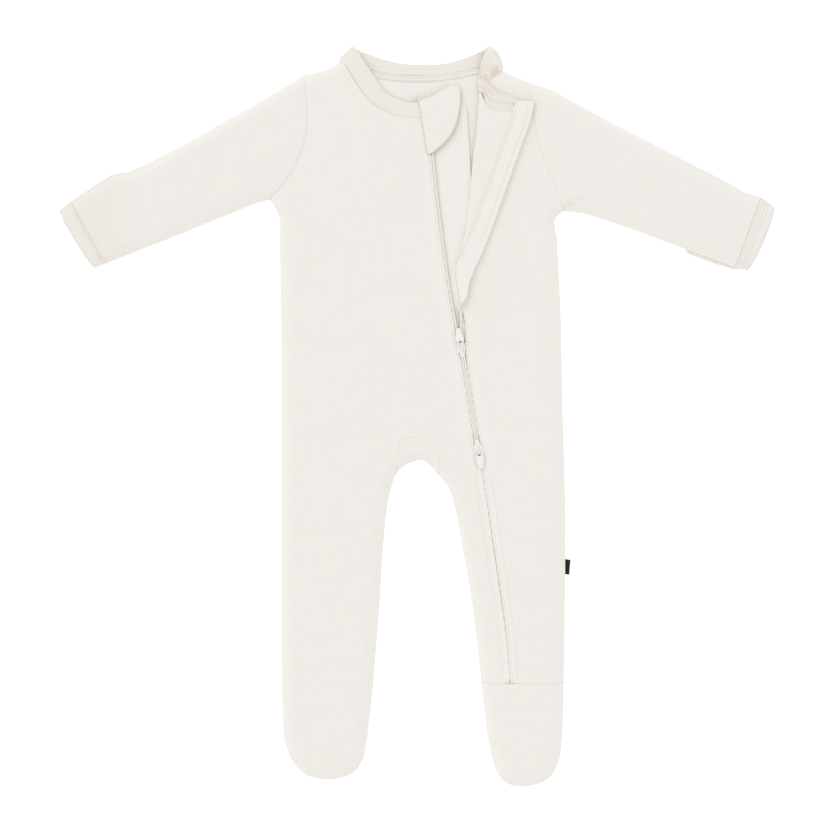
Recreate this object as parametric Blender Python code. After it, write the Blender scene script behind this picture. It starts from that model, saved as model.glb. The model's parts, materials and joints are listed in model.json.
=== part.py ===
"""Footed baby sleepsuit with a two-way zip, lying face up with its collar turned back.

Lengths in the tables are millimetres.  X runs to the wearer's left, Y to the head and
Z up.  The back panel and the undersides of the sleeves lie on z = 0, the fronts lie on
the back, and the zip, its sliders and the turned-back lapel lie on top.
"""
import math

import bmesh
import bpy
import numpy as np
from mathutils import Vector
from mathutils.geometry import delaunay_2d_cdt

MM = 0.001

# Cloth and layers
WALL = 1.2                  # jersey wall
GAP = 0.3                   # clearance between pieces
BAND_WALL = 1.6             # neckband and guard, folded double
CUFF_WALL = 1.5
TAPE_WALL = 1.0             # zip tape
LOFT = 4.2                  # how far the fronts stand off the back inside the rim
LOFT_RUN = 9.5              # distance from the rim over which they rise
EDGE_STEP = 8.5             # spacing of points along an edge
FRONT_GRID = 19.0
BACK_GRID = 34.0
RIM_INSETS = (2.6, 9.0)     # rows of points that follow each edge

# Zip
TAPE_WIDTH = 12.5
LAPEL_TAPE_WIDTH = 15.5
COIL_WIDTH = 1.6            # one half of the coil
COIL_HEIGHT = 1.0
COIL_HALF_GAP = 0.17        # between the closed halves
POST_SPREAD = 0.8           # the halves part round each slider's post
POST_RUN = 4.0
POST_PLACE = 1.3            # its middle, ahead of the pull's axis
ZIP_HALF_OPENING = 2.2      # cloth edge to the zip's centre line
ZIP_HALF_CLOSED = 0.9       # the same where the cloth edges lie together
SLIDER_BULGE = 1.9          # cloth edges spread round a slider
SLIDER_BULGE_RUN = 13.0
COVER_TOP_Y = -42.0         # below here the cloth edges close over the coil
COVER_RUN = 8.0
COIL_DROP = 1.3             # how much deeper the coil lies there
COIL_DROP_Y = -33.0
COIL_DROP_RUN = 4.5
ZIP_END_Y = -211.6
ZIP_TOP_Y = 239.0
TAPE_TOP_Y = 251.5

# Lapel
FOLD_RADIUS = 1.1
LAPEL_FOOT_Y = 76.0         # where the lapel pulls the left edge aside, over the slider
LAPEL_FOOT_SPREAD = 4.5
LAPEL_FOOT_RUN = 16.0
FOLD_STEPS = 4
TWIST_TOP_Y = 160.0
TWIST_Y = 125.0
TWIST_SLACK = 0.2           # the tape stands off the cloth where it twists
TWIST_ROWS = (4.5, 9.0, 13.5)


def table(columns, *rows):
    """Named columns of a table, each an array that runs down its rows."""
    return {name: np.array([row[i] for row in rows], float)
            for i, name in enumerate(columns.split())}


# Rim of the legs: one row for each section across both legs.
LEGS = table(
    "y       right_outer right_inner left_inner left_outer",
    (-71.0,  -108.4,     -23.2,      30.0,      119.2),
    (-107.0, -108.4,     -27.0,      37.2,      119.3),
    (-155.0, -108.4,     -30.0,      45.2,      118.9),
    (-190.0, -108.3,     -32.8,      49.6,      118.4),
    (-213.0, -107.9,     -34.6,      52.0,      118.0),
    (-239.0, -107.3,     -37.4,      54.8,      117.5),
    (-263.0, -105.0,     -40.4,      58.2,      116.2))

# Sides of the body above the legs, one row for each section.
BODY = table(
    "y      right_side left_side",
    (160.0, -110.2,    112.3),
    (140.0, -109.7,    112.8),
    (85.0,  -108.7,    115.4),
    (13.0,  -108.4,    116.9),
    (-35.0, -108.4,    118.3))

# Points round each toe, from the outside of the right foot and the inside of the left.
RIGHT_TOE = table(
    "x       y",
    (-100.2, -275.5),
    (-90.5,  -286.3),
    (-80.5,  -290.4),
    (-71.0,  -291.4),
    (-60.5,  -290.0),
    (-50.5,  -285.6),
    (-43.6,  -276.5))
LEFT_TOE = table(
    "x      y",
    (61.0,  -275.2),
    (65.2,  -286.5),
    (73.0,  -294.6),
    (83.0,  -297.0),
    (95.0,  -295.4),
    (106.0, -290.4),
    (113.2, -279.0))

# Crotch, from the right inseam over the gusset to the left inseam.
CROTCH = table(
    "x      y",
    (-20.6, -58.5),
    (-16.0, -46.5),
    (-9.8,  -39.8),
    (-1.0,  -36.2),
    (5.2,   -35.3),
    (10.4,  -39.4),
    (17.4,  -46.8),
    (25.4,  -56.5))
GUSSET_SEAM = table(
    "x      y",
    (-16.0, -46.5),
    (-14.6, -27.0),
    (-12.0, -18.4),
    (-6.5,  -17.2),
    (0.0,   -17.2),
    (6.0,   -18.6),
    (12.0,  -22.2),
    (17.0,  -28.5),
    (17.4,  -46.8))

# Shoulders and armholes, from the neck to the underarm.
RIGHT_SHOULDER = table(
    "x       y",
    (-60.2,  285.0),
    (-68.4,  279.4),
    (-77.0,  276.4),
    (-90.4,  273.4))
RIGHT_ARMHOLE = table(
    "x       y",
    (-90.4,  273.4),
    (-88.0,  256.0),
    (-86.8,  242.0),
    (-87.6,  226.4),
    (-92.0,  210.4),
    (-99.0,  196.0),
    (-108.8, 182.6),
    (-117.0, 173.6))
LEFT_SHOULDER = table(
    "x     y",
    (66.6, 277.6),
    (76.0, 273.2),
    (90.2, 267.6))
LEFT_ARMHOLE = table(
    "x      y",
    (90.2,  267.6),
    (91.0,  252.8),
    (94.0,  233.6),
    (101.2, 208.0),
    (108.2, 188.4),
    (114.0, 175.0),
    (117.6, 164.2))

# Neck seams: of the back, of the right front, and of the left front's two layers.
BACK_NECK = table(
    "x      y",
    (-59.4, 284.4),
    (-46.0, 279.8),
    (-32.4, 276.4),
    (-12.4, 273.6),
    (8.0,   273.4),
    (34.0,  276.2),
    (50.0,  279.4),
    (65.8,  277.2))
RIGHT_NECK = table(
    "x      y",
    (-60.2, 285.0),
    (-50.8, 270.4),
    (-42.8, 258.4),
    (-32.4, 248.0),
    (-22.0, 242.2),
    (-10.8, 239.6),
    (2.0,   239.0),
    (8.8,   239.0))
LEFT_NECK_UNDER = table(
    "x     y",
    (66.6, 277.6),
    (61.0, 270.4),
    (56.0, 264.6),
    (51.4, 259.4))
LEFT_NECK_OVER = table(
    "x     y",
    (51.4, 259.4),
    (54.6, 251.4),
    (59.4, 245.6),
    (66.0, 243.8),
    (76.4, 243.0),
    (86.0, 243.0))

# Centre line of the zip.
ZIP = table(
    "y       x",
    (262.0,  8.6),
    (239.0,  11.0),
    (209.0,  13.9),
    (180.0,  16.9),
    (145.0,  21.2),
    (116.0,  25.2),
    (89.0,   29.4),
    (58.4,   35.2),
    (25.0,   41.0),
    (-5.6,   45.8),
    (-44.0,  52.2),
    (-91.0,  58.9),
    (-123.0, 63.4),
    (-163.0, 68.4),
    (-195.0, 72.4),
    (-214.0, 74.5))

# Lapel of the left front: where its fold lies, how wide the turned part is and how far
# it is turned, one row for each section from the neck to the top slider.
LAPEL = table(
    "y      fold_x width turn",
    (262.0, 51.0,  43.0, 180.0),
    (250.0, 50.2,  42.0, 180.0),
    (235.0, 49.0,  39.8, 180.0),
    (212.0, 46.4,  34.1, 180.0),
    (180.0, 43.2,  26.0, 180.0),
    (152.0, 40.0,  19.2, 180.0),
    (128.0, 35.0,  14.6, 180.0),
    (115.0, 33.4,  10.3, 178.0),
    (105.0, 34.2,  6.4,  168.0),
    (96.0,  35.8,  4.0,  155.0),
    (88.0,  37.4,  2.6,  95.0),
    (80.0,  38.4,  0.9,  25.0),
    (74.0,  38.8,  0.0,  0.0))

# Sleeves: the folded top edge and the underarm edge of each section, from the armhole to
# the cuff seam and the wrist.  lift is the height of the underside over the mitt.
RIGHT_SLEEVE = table(
    "top_x   top_y  under_x under_y lift",
    (-90.8,  273.6, -117.4, 173.4,  0.0),
    (-108.0, 263.2, -130.0, 170.0,  0.0),
    (-125.0, 252.8, -146.0, 163.3,  0.0),
    (-150.0, 238.8, -170.0, 153.6,  0.0),
    (-180.0, 221.8, -192.0, 144.6,  0.0),
    (-208.0, 206.6, -210.0, 137.4,  1.5),
    (-223.4, 199.4, -221.0, 133.2,  1.5),
    (-231.4, 196.0, -225.6, 131.4,  1.5),
    (-242.3, 194.4, -231.0, 129.2,  1.5),
    (-252.5, 188.8, -236.6, 127.0,  1.5),
    (-269.2, 177.9, -245.4, 123.5,  1.5),
    (-277.2, 172.2, -249.8, 121.8,  1.5),
    (-286.2, 165.0, -258.0, 118.4,  1.5))
LEFT_SLEEVE = table(
    "top_x  top_y  under_x under_y lift",
    (90.6,  267.6, 118.0,  164.0,  0.0),
    (108.0, 262.2, 132.0,  162.4,  0.0),
    (125.0, 252.8, 148.0,  158.0,  0.0),
    (150.0, 239.2, 170.0,  150.6,  0.0),
    (180.0, 223.4, 192.0,  142.4,  0.0),
    (208.0, 208.8, 207.0,  136.8,  1.5),
    (222.0, 201.6, 219.0,  132.4,  1.5),
    (236.0, 194.6, 228.6,  129.0,  1.5),
    (250.0, 187.2, 238.0,  125.4,  1.5),
    (263.0, 179.8, 246.6,  122.4,  1.5),
    (276.4, 175.2, 255.4,  119.4,  1.5),
    (286.8, 167.8, 265.4,  116.4,  1.5))

# Scratch mitts under the wrists, corner by corner.
RIGHT_MITT = table(
    "x       y",
    (-283.4, 165.0),
    (-276.0, 171.2),
    (-252.0, 187.4),
    (-243.0, 192.6),
    (-235.0, 194.0),
    (-228.0, 176.0),
    (-217.0, 146.0),
    (-217.6, 137.0),
    (-222.0, 134.6),
    (-258.4, 120.4))
LEFT_MITT = table(
    "x      y",
    (264.2, 117.4),
    (283.6, 165.0),
    (276.0, 171.4),
    (236.0, 192.6),
    (231.0, 187.4),
    (222.0, 160.0),
    (215.6, 134.4),
    (217.0, 130.8),
    (222.0, 128.6),
    (230.0, 125.6),
    (242.0, 121.4),
    (254.0, 118.0))

# Neckband: seam edge and free edge of each section, with their heights.  It starts at the
# zip on the right front, turns over at the right shoulder, passes behind the neck, turns
# over at the left shoulder and again at the lapel's fold, and ends at the lapel's edge.
NECKBAND = table(
    "seam_x seam_y  seam_z free_x free_y  free_z bow",
    (8.2,   239.5,  6.6,   7.0,   250.6,  6.6,   0.0),
    (0.0,   239.5,  6.5,   -1.6,  250.8,  6.5,   0.0),
    (-11.0, 240.1,  6.3,   -13.2, 253.0,  6.3,   0.0),
    (-21.7, 242.8,  6.3,   -24.6, 259.4,  6.1,   0.0),
    (-32.0, 248.5,  6.2,   -32.4, 270.6,  5.7,   0.0),
    (-42.3, 258.8,  5.8,   -38.8, 279.6,  5.1,   0.0),
    (-50.3, 270.8,  5.0,   -43.2, 286.6,  4.5,   0.0),
    (-57.4, 281.6,  4.0,   -46.8, 292.6,  4.0,   0.2),
    (-61.2, 286.4,  2.5,   -50.8, 296.4,  2.5,   0.5),
    (-58.8, 285.6,  0.8,   -48.0, 294.4,  0.8,   0.0),
    (-45.8, 280.6,  0.8,   -36.8, 289.8,  0.8,   0.0),
    (-32.2, 277.2,  0.8,   -25.0, 285.8,  0.8,   0.0),
    (-12.3, 274.4,  0.8,   -8.0,  282.4,  0.8,   0.0),
    (8.0,   274.2,  0.8,   9.0,   281.8,  0.8,   0.0),
    (34.0,  277.0,  0.8,   31.0,  284.8,  0.8,   0.0),
    (50.0,  280.2,  0.8,   44.6,  289.6,  0.8,   0.0),
    (62.6,  280.2,  0.8,   53.8,  293.8,  0.8,   0.0),
    (68.8,  279.0,  3.0,   58.0,  296.4,  3.0,   2.0),
    (63.6,  276.2,  5.2,   54.6,  290.6,  5.2,   0.6),
    (57.6,  269.0,  6.0,   51.2,  281.4,  5.6,   0.0),
    (52.8,  263.4,  6.3,   50.2,  274.0,  6.3,   0.0),
    (50.5,  261.0,  7.4,   49.6,  269.4,  7.4,   0.0),
    (52.8,  260.2,  8.5,   53.4,  267.4,  8.9,   0.0),
    (56.1,  252.6,  8.5,   59.0,  261.2,  9.3,   0.0),
    (60.5,  247.1,  8.5,   64.0,  257.0,  9.0,   0.0),
    (66.4,  245.0,  8.5,   68.8,  255.6,  8.8,   0.0),
    (76.4,  243.8,  8.5,   77.4,  254.6,  8.5,   0.0),
    (90.6,  243.9,  8.5,   90.8,  250.8,  8.5,   0.0))

# Inner placket behind the zip: how far it reaches to each side of the zip's centre line.
PLACKET = table(
    "y       to_right to_left",
    (255.4,  9.0,     27.6),
    (248.0,  9.0,     29.6),
    (227.0,  9.0,     29.4),
    (208.0,  9.0,     28.8),
    (180.0,  9.0,     27.6),
    (120.0,  9.0,     24.0),
    (40.0,   9.0,     20.0),
    (-211.0, 8.0,     18.0))

# Guard tab over the top of the zip: its outline, and how high it stands over the back.
GUARD = table(
    "x     y      height",
    (2.2,  249.6, 7.8),
    (3.6,  238.4, 7.7),
    (5.6,  225.0, 7.3),
    (8.4,  209.4, 7.3),
    (10.0, 208.8, 7.4),
    (16.0, 213.0, 7.8),
    (25.8, 222.0, 8.0),
    (31.4, 229.8, 7.8),
    (34.2, 238.6, 7.4),
    (35.0, 250.0, 7.0),
    (34.8, 262.6, 6.2),
    (29.0, 264.8, 6.2),
    (21.0, 261.0, 6.8),
    (12.0, 254.4, 7.6))

# Sliders: height on the zip and the way their pulls point, up is +1.
SLIDERS = table(
    "y      way",
    (55.4,  1.0),
    (-27.4, -1.0))
SLIDER_PLATE = 0.8
PULL_WALL = 1.0
PULL_AXIS_RISE = 1.0        # above the slider's top plate
BRIDGE_INNER_RISE = 2.0
BRIDGE_WALL = 1.0
BRIDGE_HALF_LENGTH = 3.3
BRIDGE_HALF_WIDTH = 0.7

# Label in the left side seam
LABEL_Y = -120.8
LABEL_LENGTH = 12.0
LABEL_REACH = 5.6
LABEL_WALL = 1.0

CLOTH = (0.87, 0.84, 0.79)
CUFF_CLOTH = (0.85, 0.80, 0.76)
BAND_CLOTH = (0.85, 0.82, 0.77)
TAPE_CLOTH = (0.83, 0.79, 0.73)
PLASTIC = (0.90, 0.88, 0.84)
BLACK = (0.02, 0.02, 0.02)


# ---------------------------------------------------------------- curves

def spline(ts, values, t, steady=False):
    """Smooth curve through values at the rising places ts, read at t.

    A steady curve never runs past its values.
    """
    ts = np.asarray(ts, float)
    values = np.asarray(values, float)
    slopes = np.gradient(values, ts, axis=0) if len(ts) > 2 else np.full_like(
        values, (values[-1] - values[0]) / (ts[-1] - ts[0]))
    if steady:
        runs = (np.diff(values, axis=0).T / np.diff(ts)).T
        before, after = runs[:-1], runs[1:]
        limit = 2.0 * np.minimum(np.abs(before), np.abs(after))
        held = np.clip(slopes[1:-1], -limit, limit)
        slopes[1:-1] = np.where(before * after > 0.0, held, 0.0)
    t = np.clip(np.asarray(t, float), ts[0], ts[-1])
    i = np.clip(np.searchsorted(ts, t) - 1, 0, len(ts) - 2)
    step = ts[i + 1] - ts[i]
    f = (t - ts[i]) / step
    if values.ndim > 1:
        f = f[..., None]
        step = step[..., None]
    rise = values[i] * (2 * f**3 - 3 * f**2 + 1) + values[i + 1] * (3 * f**2 - 2 * f**3)
    return rise + step * (slopes[i] * (f**3 - 2 * f**2 + f) + slopes[i + 1] * (f**3 - f**2))


def column(rows, name, y):
    """A table's column read at height y; its rows may run down or up."""
    order = np.argsort(rows["y"])
    return spline(rows["y"][order], rows[name][order], y)


def points_of(rows):
    return np.column_stack([rows["x"], rows["y"]])


def path(points, step=EDGE_STEP):
    """Smooth path through points, with each of them kept and others between."""
    points = np.asarray(points, float)
    lengths = np.linalg.norm(np.diff(points, axis=0), axis=1)
    places = np.concatenate([[0.0], np.cumsum(lengths)])
    stations = [np.linspace(a, b, max(1, round((b - a) / step)), endpoint=False)
                for a, b in zip(places[:-1], places[1:])]
    stations = np.append(np.concatenate(stations), places[-1])
    return spline(places, points, stations)


def between(points, start, end):
    """The stretch of a sampled path from its point nearest start to that nearest end."""
    a, b = (int(np.argmin(np.hypot(*(points - place).T))) for place in (start, end))
    return points[a:b + 1] if a <= b else points[b:a + 1][::-1]


def closed(*stretches):
    """One closed outline from stretches that meet end to end."""
    points = []
    for point in np.concatenate(stretches):
        if not points or np.hypot(*(point - points[-1])) > 0.05:
            points.append(point)
    if np.hypot(*(points[0] - points[-1])) < 0.05:
        points.pop()
    points = np.array(points)
    return points if turning(points) > 0 else points[::-1]


def turning(points):
    """Twice the signed area of a closed outline: positive if it runs anticlockwise."""
    x, y = points.T
    return float(np.sum(x * np.roll(y, -1) - np.roll(x, -1) * y))


def inset(points, distance):
    """A closed anticlockwise outline moved inwards by distance."""
    ahead = np.roll(points, -1, axis=0) - points
    ahead /= np.linalg.norm(ahead, axis=1)[:, None]
    behind = np.roll(ahead, 1, axis=0)
    inward = np.column_stack([-ahead[:, 1] - behind[:, 1], ahead[:, 0] + behind[:, 0]])
    spread = np.maximum(np.sum(inward**2, axis=1) / 2.0, 0.5)
    return points + distance * inward / spread[:, None]


def distance_to(points, line, loop=False):
    """Distance of each point to a line of straight runs."""
    ends = np.roll(line, -1, axis=0) if loop else line[1:]
    starts = line if loop else line[:-1]
    run = ends - starts
    offset = points[:, None, :] - starts[None]
    f = np.clip(np.sum(offset * run, axis=2) / np.sum(run**2, axis=1), 0.0, 1.0)
    return np.min(np.linalg.norm(offset - f[..., None] * run, axis=2), axis=1)


def inside(points, outline):
    """Which points lie in a closed outline."""
    x, y = points[:, :1], points[:, 1:]
    ax, ay = outline.T
    bx, by = np.roll(outline, -1, axis=0).T
    span = (ay > y) != (by > y)
    rise = np.where(by == ay, 1.0, by - ay)
    return np.sum(span & (x < (bx - ax) * (y - ay) / rise + ax), axis=1) % 2 == 1


# ---------------------------------------------------------------- seams and rim

def leg_side(name):
    return np.column_stack([LEGS[name], LEGS["y"]])


def body_side(name):
    return np.column_stack([BODY[name], BODY["y"]])


RIGHT_UNDERARM = points_of(RIGHT_ARMHOLE)[-1]
LEFT_UNDERARM = points_of(LEFT_ARMHOLE)[-1]
RIM = path(np.concatenate([
    [RIGHT_UNDERARM], body_side("right_side"), leg_side("right_outer"),
    points_of(RIGHT_TOE), leg_side("right_inner")[::-1], points_of(CROTCH),
    leg_side("left_inner"), points_of(LEFT_TOE), leg_side("left_outer")[::-1],
    body_side("left_side")[::-1], [LEFT_UNDERARM]]))
RIGHT_ARMHOLE_SEAM = path(points_of(RIGHT_ARMHOLE))
LEFT_ARMHOLE_SEAM = path(points_of(LEFT_ARMHOLE))
RIGHT_SHOULDER_EDGE = path(points_of(RIGHT_SHOULDER))
LEFT_SHOULDER_EDGE = path(points_of(LEFT_SHOULDER))
ANKLE_INNER = leg_side("left_inner")[4]
ANKLE_OUTER = leg_side("left_outer")[4]
GUSSET_RIGHT = points_of(GUSSET_SEAM)[0]
GUSSET_LEFT = points_of(GUSSET_SEAM)[-1]


def sleeve_edges(rows):
    return (np.column_stack([rows["top_x"], rows["top_y"]]),
            np.column_stack([rows["under_x"], rows["under_y"]]))


RIM_LINES = [RIM, RIGHT_SHOULDER_EDGE, LEFT_SHOULDER_EDGE,
             *sleeve_edges(RIGHT_SLEEVE), *sleeve_edges(LEFT_SLEEVE)]


def front_height(points):
    """Height of the middle of the fronts' wall: low at the rim and level inside it."""
    points = np.atleast_2d(points)
    reach = np.min([distance_to(points, line) for line in RIM_LINES], axis=0)
    rise = np.sin(0.5 * math.pi * np.minimum(reach / LOFT_RUN, 1.0))
    return WALL + GAP + 0.5 * WALL + LOFT * rise


def ease(y, start, run):
    """0 above start, and 1 from run below it."""
    return np.clip((start - np.asarray(y, float)) / run, 0.0, 1.0)


def slider_bulge(y):
    """How far the cloth edges spread beside the sliders."""
    return sum(SLIDER_BULGE * np.exp(-((y - centre) / SLIDER_BULGE_RUN)**4)
               for centre in SLIDERS["y"])


def zip_edge(side, y):
    """Cloth edge beside the zip: side is -1 for the right front, +1 for the left."""
    y = np.asarray(y, float)
    cover = ease(y, COVER_TOP_Y, COVER_RUN)
    half = ZIP_HALF_OPENING + cover * (ZIP_HALF_CLOSED - ZIP_HALF_OPENING)
    if side > 0:
        half = half + LAPEL_FOOT_SPREAD * np.exp(-((y - LAPEL_FOOT_Y) / LAPEL_FOOT_RUN)**2)
    return column(ZIP, "x", y) + side * (half + slider_bulge(y))


def coil_half_gap(y):
    """Half the space between the coils, wider round the sliders' posts."""
    y = np.asarray(y, float)
    posts = SLIDERS["y"] + POST_PLACE * SLIDERS["way"]
    return COIL_HALF_GAP + sum(
        POST_SPREAD * np.exp(-((y - post) / POST_RUN)**4) for post in posts)


def fold_turn(y):
    """Angle of the lapel's fold, in radians."""
    turn = np.radians(column(LAPEL, "turn", y))
    return np.where(np.asarray(y) > LAPEL["y"][-1], np.clip(turn, 0.0, math.pi), 0.0)


def fold_line(y):
    """Where the lapel's fold starts to leave the front, just inside its visible edge."""
    return column(LAPEL, "fold_x", y) + FOLD_RADIUS * np.sin(0.5 * fold_turn(y))


def lapel_reach(y, width):
    """Length along the cloth from the fold's start to a place width from its edge."""
    turn = fold_turn(y)
    return width + FOLD_RADIUS * (turn - np.sin(0.5 * turn))


def place_left(points, h):
    """The left front's cloth: u across, y along and h outwards, with the lapel turned."""
    points = np.atleast_2d(points)
    u, y = points.T
    turn = fold_turn(y)
    start = fold_line(y)
    s = np.maximum(start - u, 0.0)
    folded = (s > 0) & (turn > 0)
    angle = np.where(folded, np.minimum(s / FOLD_RADIUS, turn), 0.0)
    past = np.where(folded, s - FOLD_RADIUS * angle, 0.0)
    x = np.where(folded, start - (FOLD_RADIUS - h) * np.sin(angle) - past * np.cos(angle), u)
    rise = np.where(folded, FOLD_RADIUS - (FOLD_RADIUS - h) * np.cos(angle)
                    + past * np.sin(angle), h)
    base = front_height(np.column_stack([x, y]))
    return np.column_stack([x, y, base + rise])


def place_front(points, h):
    points = np.atleast_2d(points)
    return np.column_stack([points, front_height(points) + h])


def place_flat(points, h):
    points = np.atleast_2d(points)
    return np.column_stack([points, np.full(len(points), float(h))])


# ---------------------------------------------------------------- meshes

def material(name, colour, roughness, metallic=0.0):
    found = bpy.data.materials.get(name)
    if found:
        return found
    made = bpy.data.materials.new(name)
    made.use_nodes = True
    shader = made.node_tree.nodes["Principled BSDF"]
    shader.inputs["Base Color"].default_value = (*colour, 1.0)
    shader.inputs["Roughness"].default_value = roughness
    shader.inputs["Metallic"].default_value = metallic
    return made


def make_object(name, vertices, faces, look):
    """An object from points in millimetres, with a material of its own."""
    mesh = bpy.data.meshes.new(name)
    mesh.from_pydata([tuple(point * MM) for point in vertices], [], faces)
    shell = bmesh.new()
    shell.from_mesh(mesh)
    bmesh.ops.recalc_face_normals(shell, faces=shell.faces)
    shell.to_mesh(mesh)
    shell.free()
    mesh.materials.append(material(f"{name}_material", *look))
    mesh.shade_smooth()
    mesh.set_sharp_from_angle(angle=math.radians(50.0))
    made = bpy.data.objects.new(name, mesh)
    bpy.context.collection.objects.link(made)
    return made


def filled(outline, grid, ring=True, extra=None):
    """Points and triangles that fill a closed outline with a staggered grid."""
    low, high = outline.min(axis=0), outline.max(axis=0)
    rows = np.arange(low[1], high[1], grid * 0.866)
    candidates = [(x + (grid / 2 if i % 2 else 0.0), y)
                  for i, y in enumerate(rows) for x in np.arange(low[0], high[0], grid)]
    candidates = np.array(candidates)
    groups = [candidates[distance_to(candidates, outline, True) > 0.6 * grid]]
    for distance in RIM_INSETS if ring else ():
        follow = inset(outline, distance)
        groups.append(follow[distance_to(follow, outline, True) > 0.9 * distance])
    inner = np.concatenate(groups)
    if extra is not None:
        inner = inner[distance_to(inner, extra) > 3.0]
        inner = np.concatenate([inner, extra])
    inner = inner[inside(inner, outline)]
    inner = inner[distance_to(inner, outline, True) > 0.8]
    vertices = [Vector(point) for point in np.concatenate([outline, inner])]
    count = len(outline)
    border = [(i, (i + 1) % count) for i in range(count)]
    made = delaunay_2d_cdt(vertices, border, [], 0, 1e-5, False)
    flat = np.array([tuple(v) for v in made[0]])
    faces = np.array([list(face) for face in made[2]])
    within = inside(flat[faces].mean(axis=1), outline)
    return flat, faces[within].tolist()


def slab(name, outline, place, wall, look, grid=FRONT_GRID, ring=True, extra=None,
         middle=0.0):
    """A wall of cloth over an outline, half its thickness to each side of middle."""
    flat, triangles = filled(inset(outline, GAP * 0.6), grid, ring, extra)
    lower = place(flat, middle - 0.5 * wall)
    upper = place(flat, middle + 0.5 * wall)
    return two_sided(name, lower, upper, triangles, look)


def two_sided(name, lower, upper, triangles, look):
    """A closed body between two matching skins."""
    count = len(lower)
    used = {}
    for face in triangles:
        for a, b in zip(face, face[1:] + face[:1]):
            used[(a, b)] = True
    border = [(a, b) for a, b in used if (b, a) not in used]
    faces = [face[::-1] for face in triangles]
    faces += [[i + count for i in face] for face in triangles]
    faces += [[a, b, b + count, a + count] for a, b in border]
    return make_object(name, np.concatenate([lower, upper]), faces, look)


def loft(name, rings, look):
    """A closed body through rings of points, its ends filled."""
    count = len(rings[0])
    faces = []
    for i in range(len(rings) - 1):
        for k in range(count):
            a, b = i * count + k, i * count + (k + 1) % count
            faces.append([a, b, b + count, a + count])
    faces.append(list(range(count))[::-1])
    last = (len(rings) - 1) * count
    faces.append([last + k for k in range(count)])
    return make_object(name, np.concatenate(rings), faces, look)


def tube(name, outer, inner, look):
    """A closed wall between outer and inner rings, open at both ends."""
    count = len(outer[0])
    total = len(outer) * count
    faces = []
    for i in range(len(outer) - 1):
        for k in range(count):
            a, b = i * count + k, i * count + (k + 1) % count
            faces.append([a, b, b + count, a + count])
            faces.append([total + a + count, total + b + count, total + b, total + a])
    last = total - count
    for k in range(count):
        j = (k + 1) % count
        faces.append([k, total + k, total + j, j])
        faces.append([last + j, total + last + j, total + last + k, last + k])
    return make_object(name, np.concatenate([*outer, *inner]), faces, look)


def prism(name, outline, axes, low, high, look):
    """An outline pushed straight from low to high; axes are its origin, across, along, up."""
    origin, across, along, up = axes
    flat = [origin + across * p[0] + along * p[1] for p in outline]
    rings = [[p + up * low for p in flat], [p + up * high for p in flat]]
    return loft(name, [np.array(ring) for ring in rings], look)


def combine(base, other, operation="UNION"):
    """Union or cut with another body, which is used up."""
    cut = base.modifiers.new(operation.lower(), "BOOLEAN")
    cut.operation = operation
    cut.object = other
    bpy.context.view_layer.update()
    made = bpy.data.meshes.new_from_object(base.evaluated_get(
        bpy.context.evaluated_depsgraph_get()))
    base.modifiers.clear()
    base.data = made
    bpy.data.objects.remove(other)
    return base


# ---------------------------------------------------------------- pieces

CLOTH_LOOK = (CLOTH, 0.92)
BAND_LOOK = (BAND_CLOTH, 0.92)
CUFF_LOOK = (CUFF_CLOTH, 0.92)
TAPE_LOOK = (TAPE_CLOTH, 0.8)
COIL_LOOK = (TAPE_CLOTH, 0.45)
PLASTIC_LOOK = (PLASTIC, 0.35)


def zip_heights(top, bottom, step=9.0):
    """Sections along the zip, closer together beside the sliders and the fold's twist."""
    ys = np.arange(bottom, top, step)
    close = np.concatenate([np.arange(c - 14.0, c + 14.1, 3.5) for c in SLIDERS["y"]])
    twist = np.arange(78.0, 152.0, 4.0)
    close = np.unique(np.round(np.concatenate([close, twist]), 3))
    far = ys[np.min(np.abs(ys[:, None] - close[None]), axis=1) > 3.0]
    return np.sort(np.concatenate([far, close, [top]]))


def make_back():
    outline = closed(RIGHT_SHOULDER_EDGE, RIGHT_ARMHOLE_SEAM, RIM,
                     LEFT_ARMHOLE_SEAM[::-1], LEFT_SHOULDER_EDGE[::-1],
                     path(points_of(BACK_NECK))[::-1])
    slab("back", outline, place_flat, WALL, CLOTH_LOOK, BACK_GRID, ring=False,
         middle=0.5 * WALL)


def ankle_seam(start, end):
    """Points along the ankle seam, from one x to another."""
    count = max(2, round(abs(end - start) / 4.0))
    xs = np.linspace(start, end, count)
    rise = (ANKLE_OUTER[1] - ANKLE_INNER[1]) / (ANKLE_OUTER[0] - ANKLE_INNER[0])
    return np.column_stack([xs, ANKLE_INNER[1] + rise * (xs - ANKLE_INNER[0])])


def make_front_right():
    ys = zip_heights(ZIP_TOP_Y, LEGS["y"][4])
    zip_side = np.column_stack([zip_edge(-1, ys), ys])
    outline = closed(
        RIGHT_SHOULDER_EDGE, RIGHT_ARMHOLE_SEAM, between(RIM, RIGHT_UNDERARM, GUSSET_RIGHT),
        path(points_of(GUSSET_SEAM)), between(RIM, GUSSET_LEFT, ANKLE_INNER),
        ankle_seam(ANKLE_INNER[0], zip_side[0, 0]), zip_side,
        path(points_of(RIGHT_NECK))[::-1])
    slab("front_right", outline, place_front, WALL, CLOTH_LOOK)


def lapel_pattern(points):
    """Unfolded places of points on the turned lapel."""
    x, y = points.T
    width = x - column(LAPEL, "fold_x", y)
    return np.column_stack([fold_line(y) - lapel_reach(y, width), y])


def left_zip_edge(y):
    """Unfolded zip edge of the left front, lapel included."""
    turned = fold_line(y) - lapel_reach(y, column(LAPEL, "width", y))
    return np.where(y > LAPEL["y"][-1], turned, zip_edge(1, y))


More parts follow.
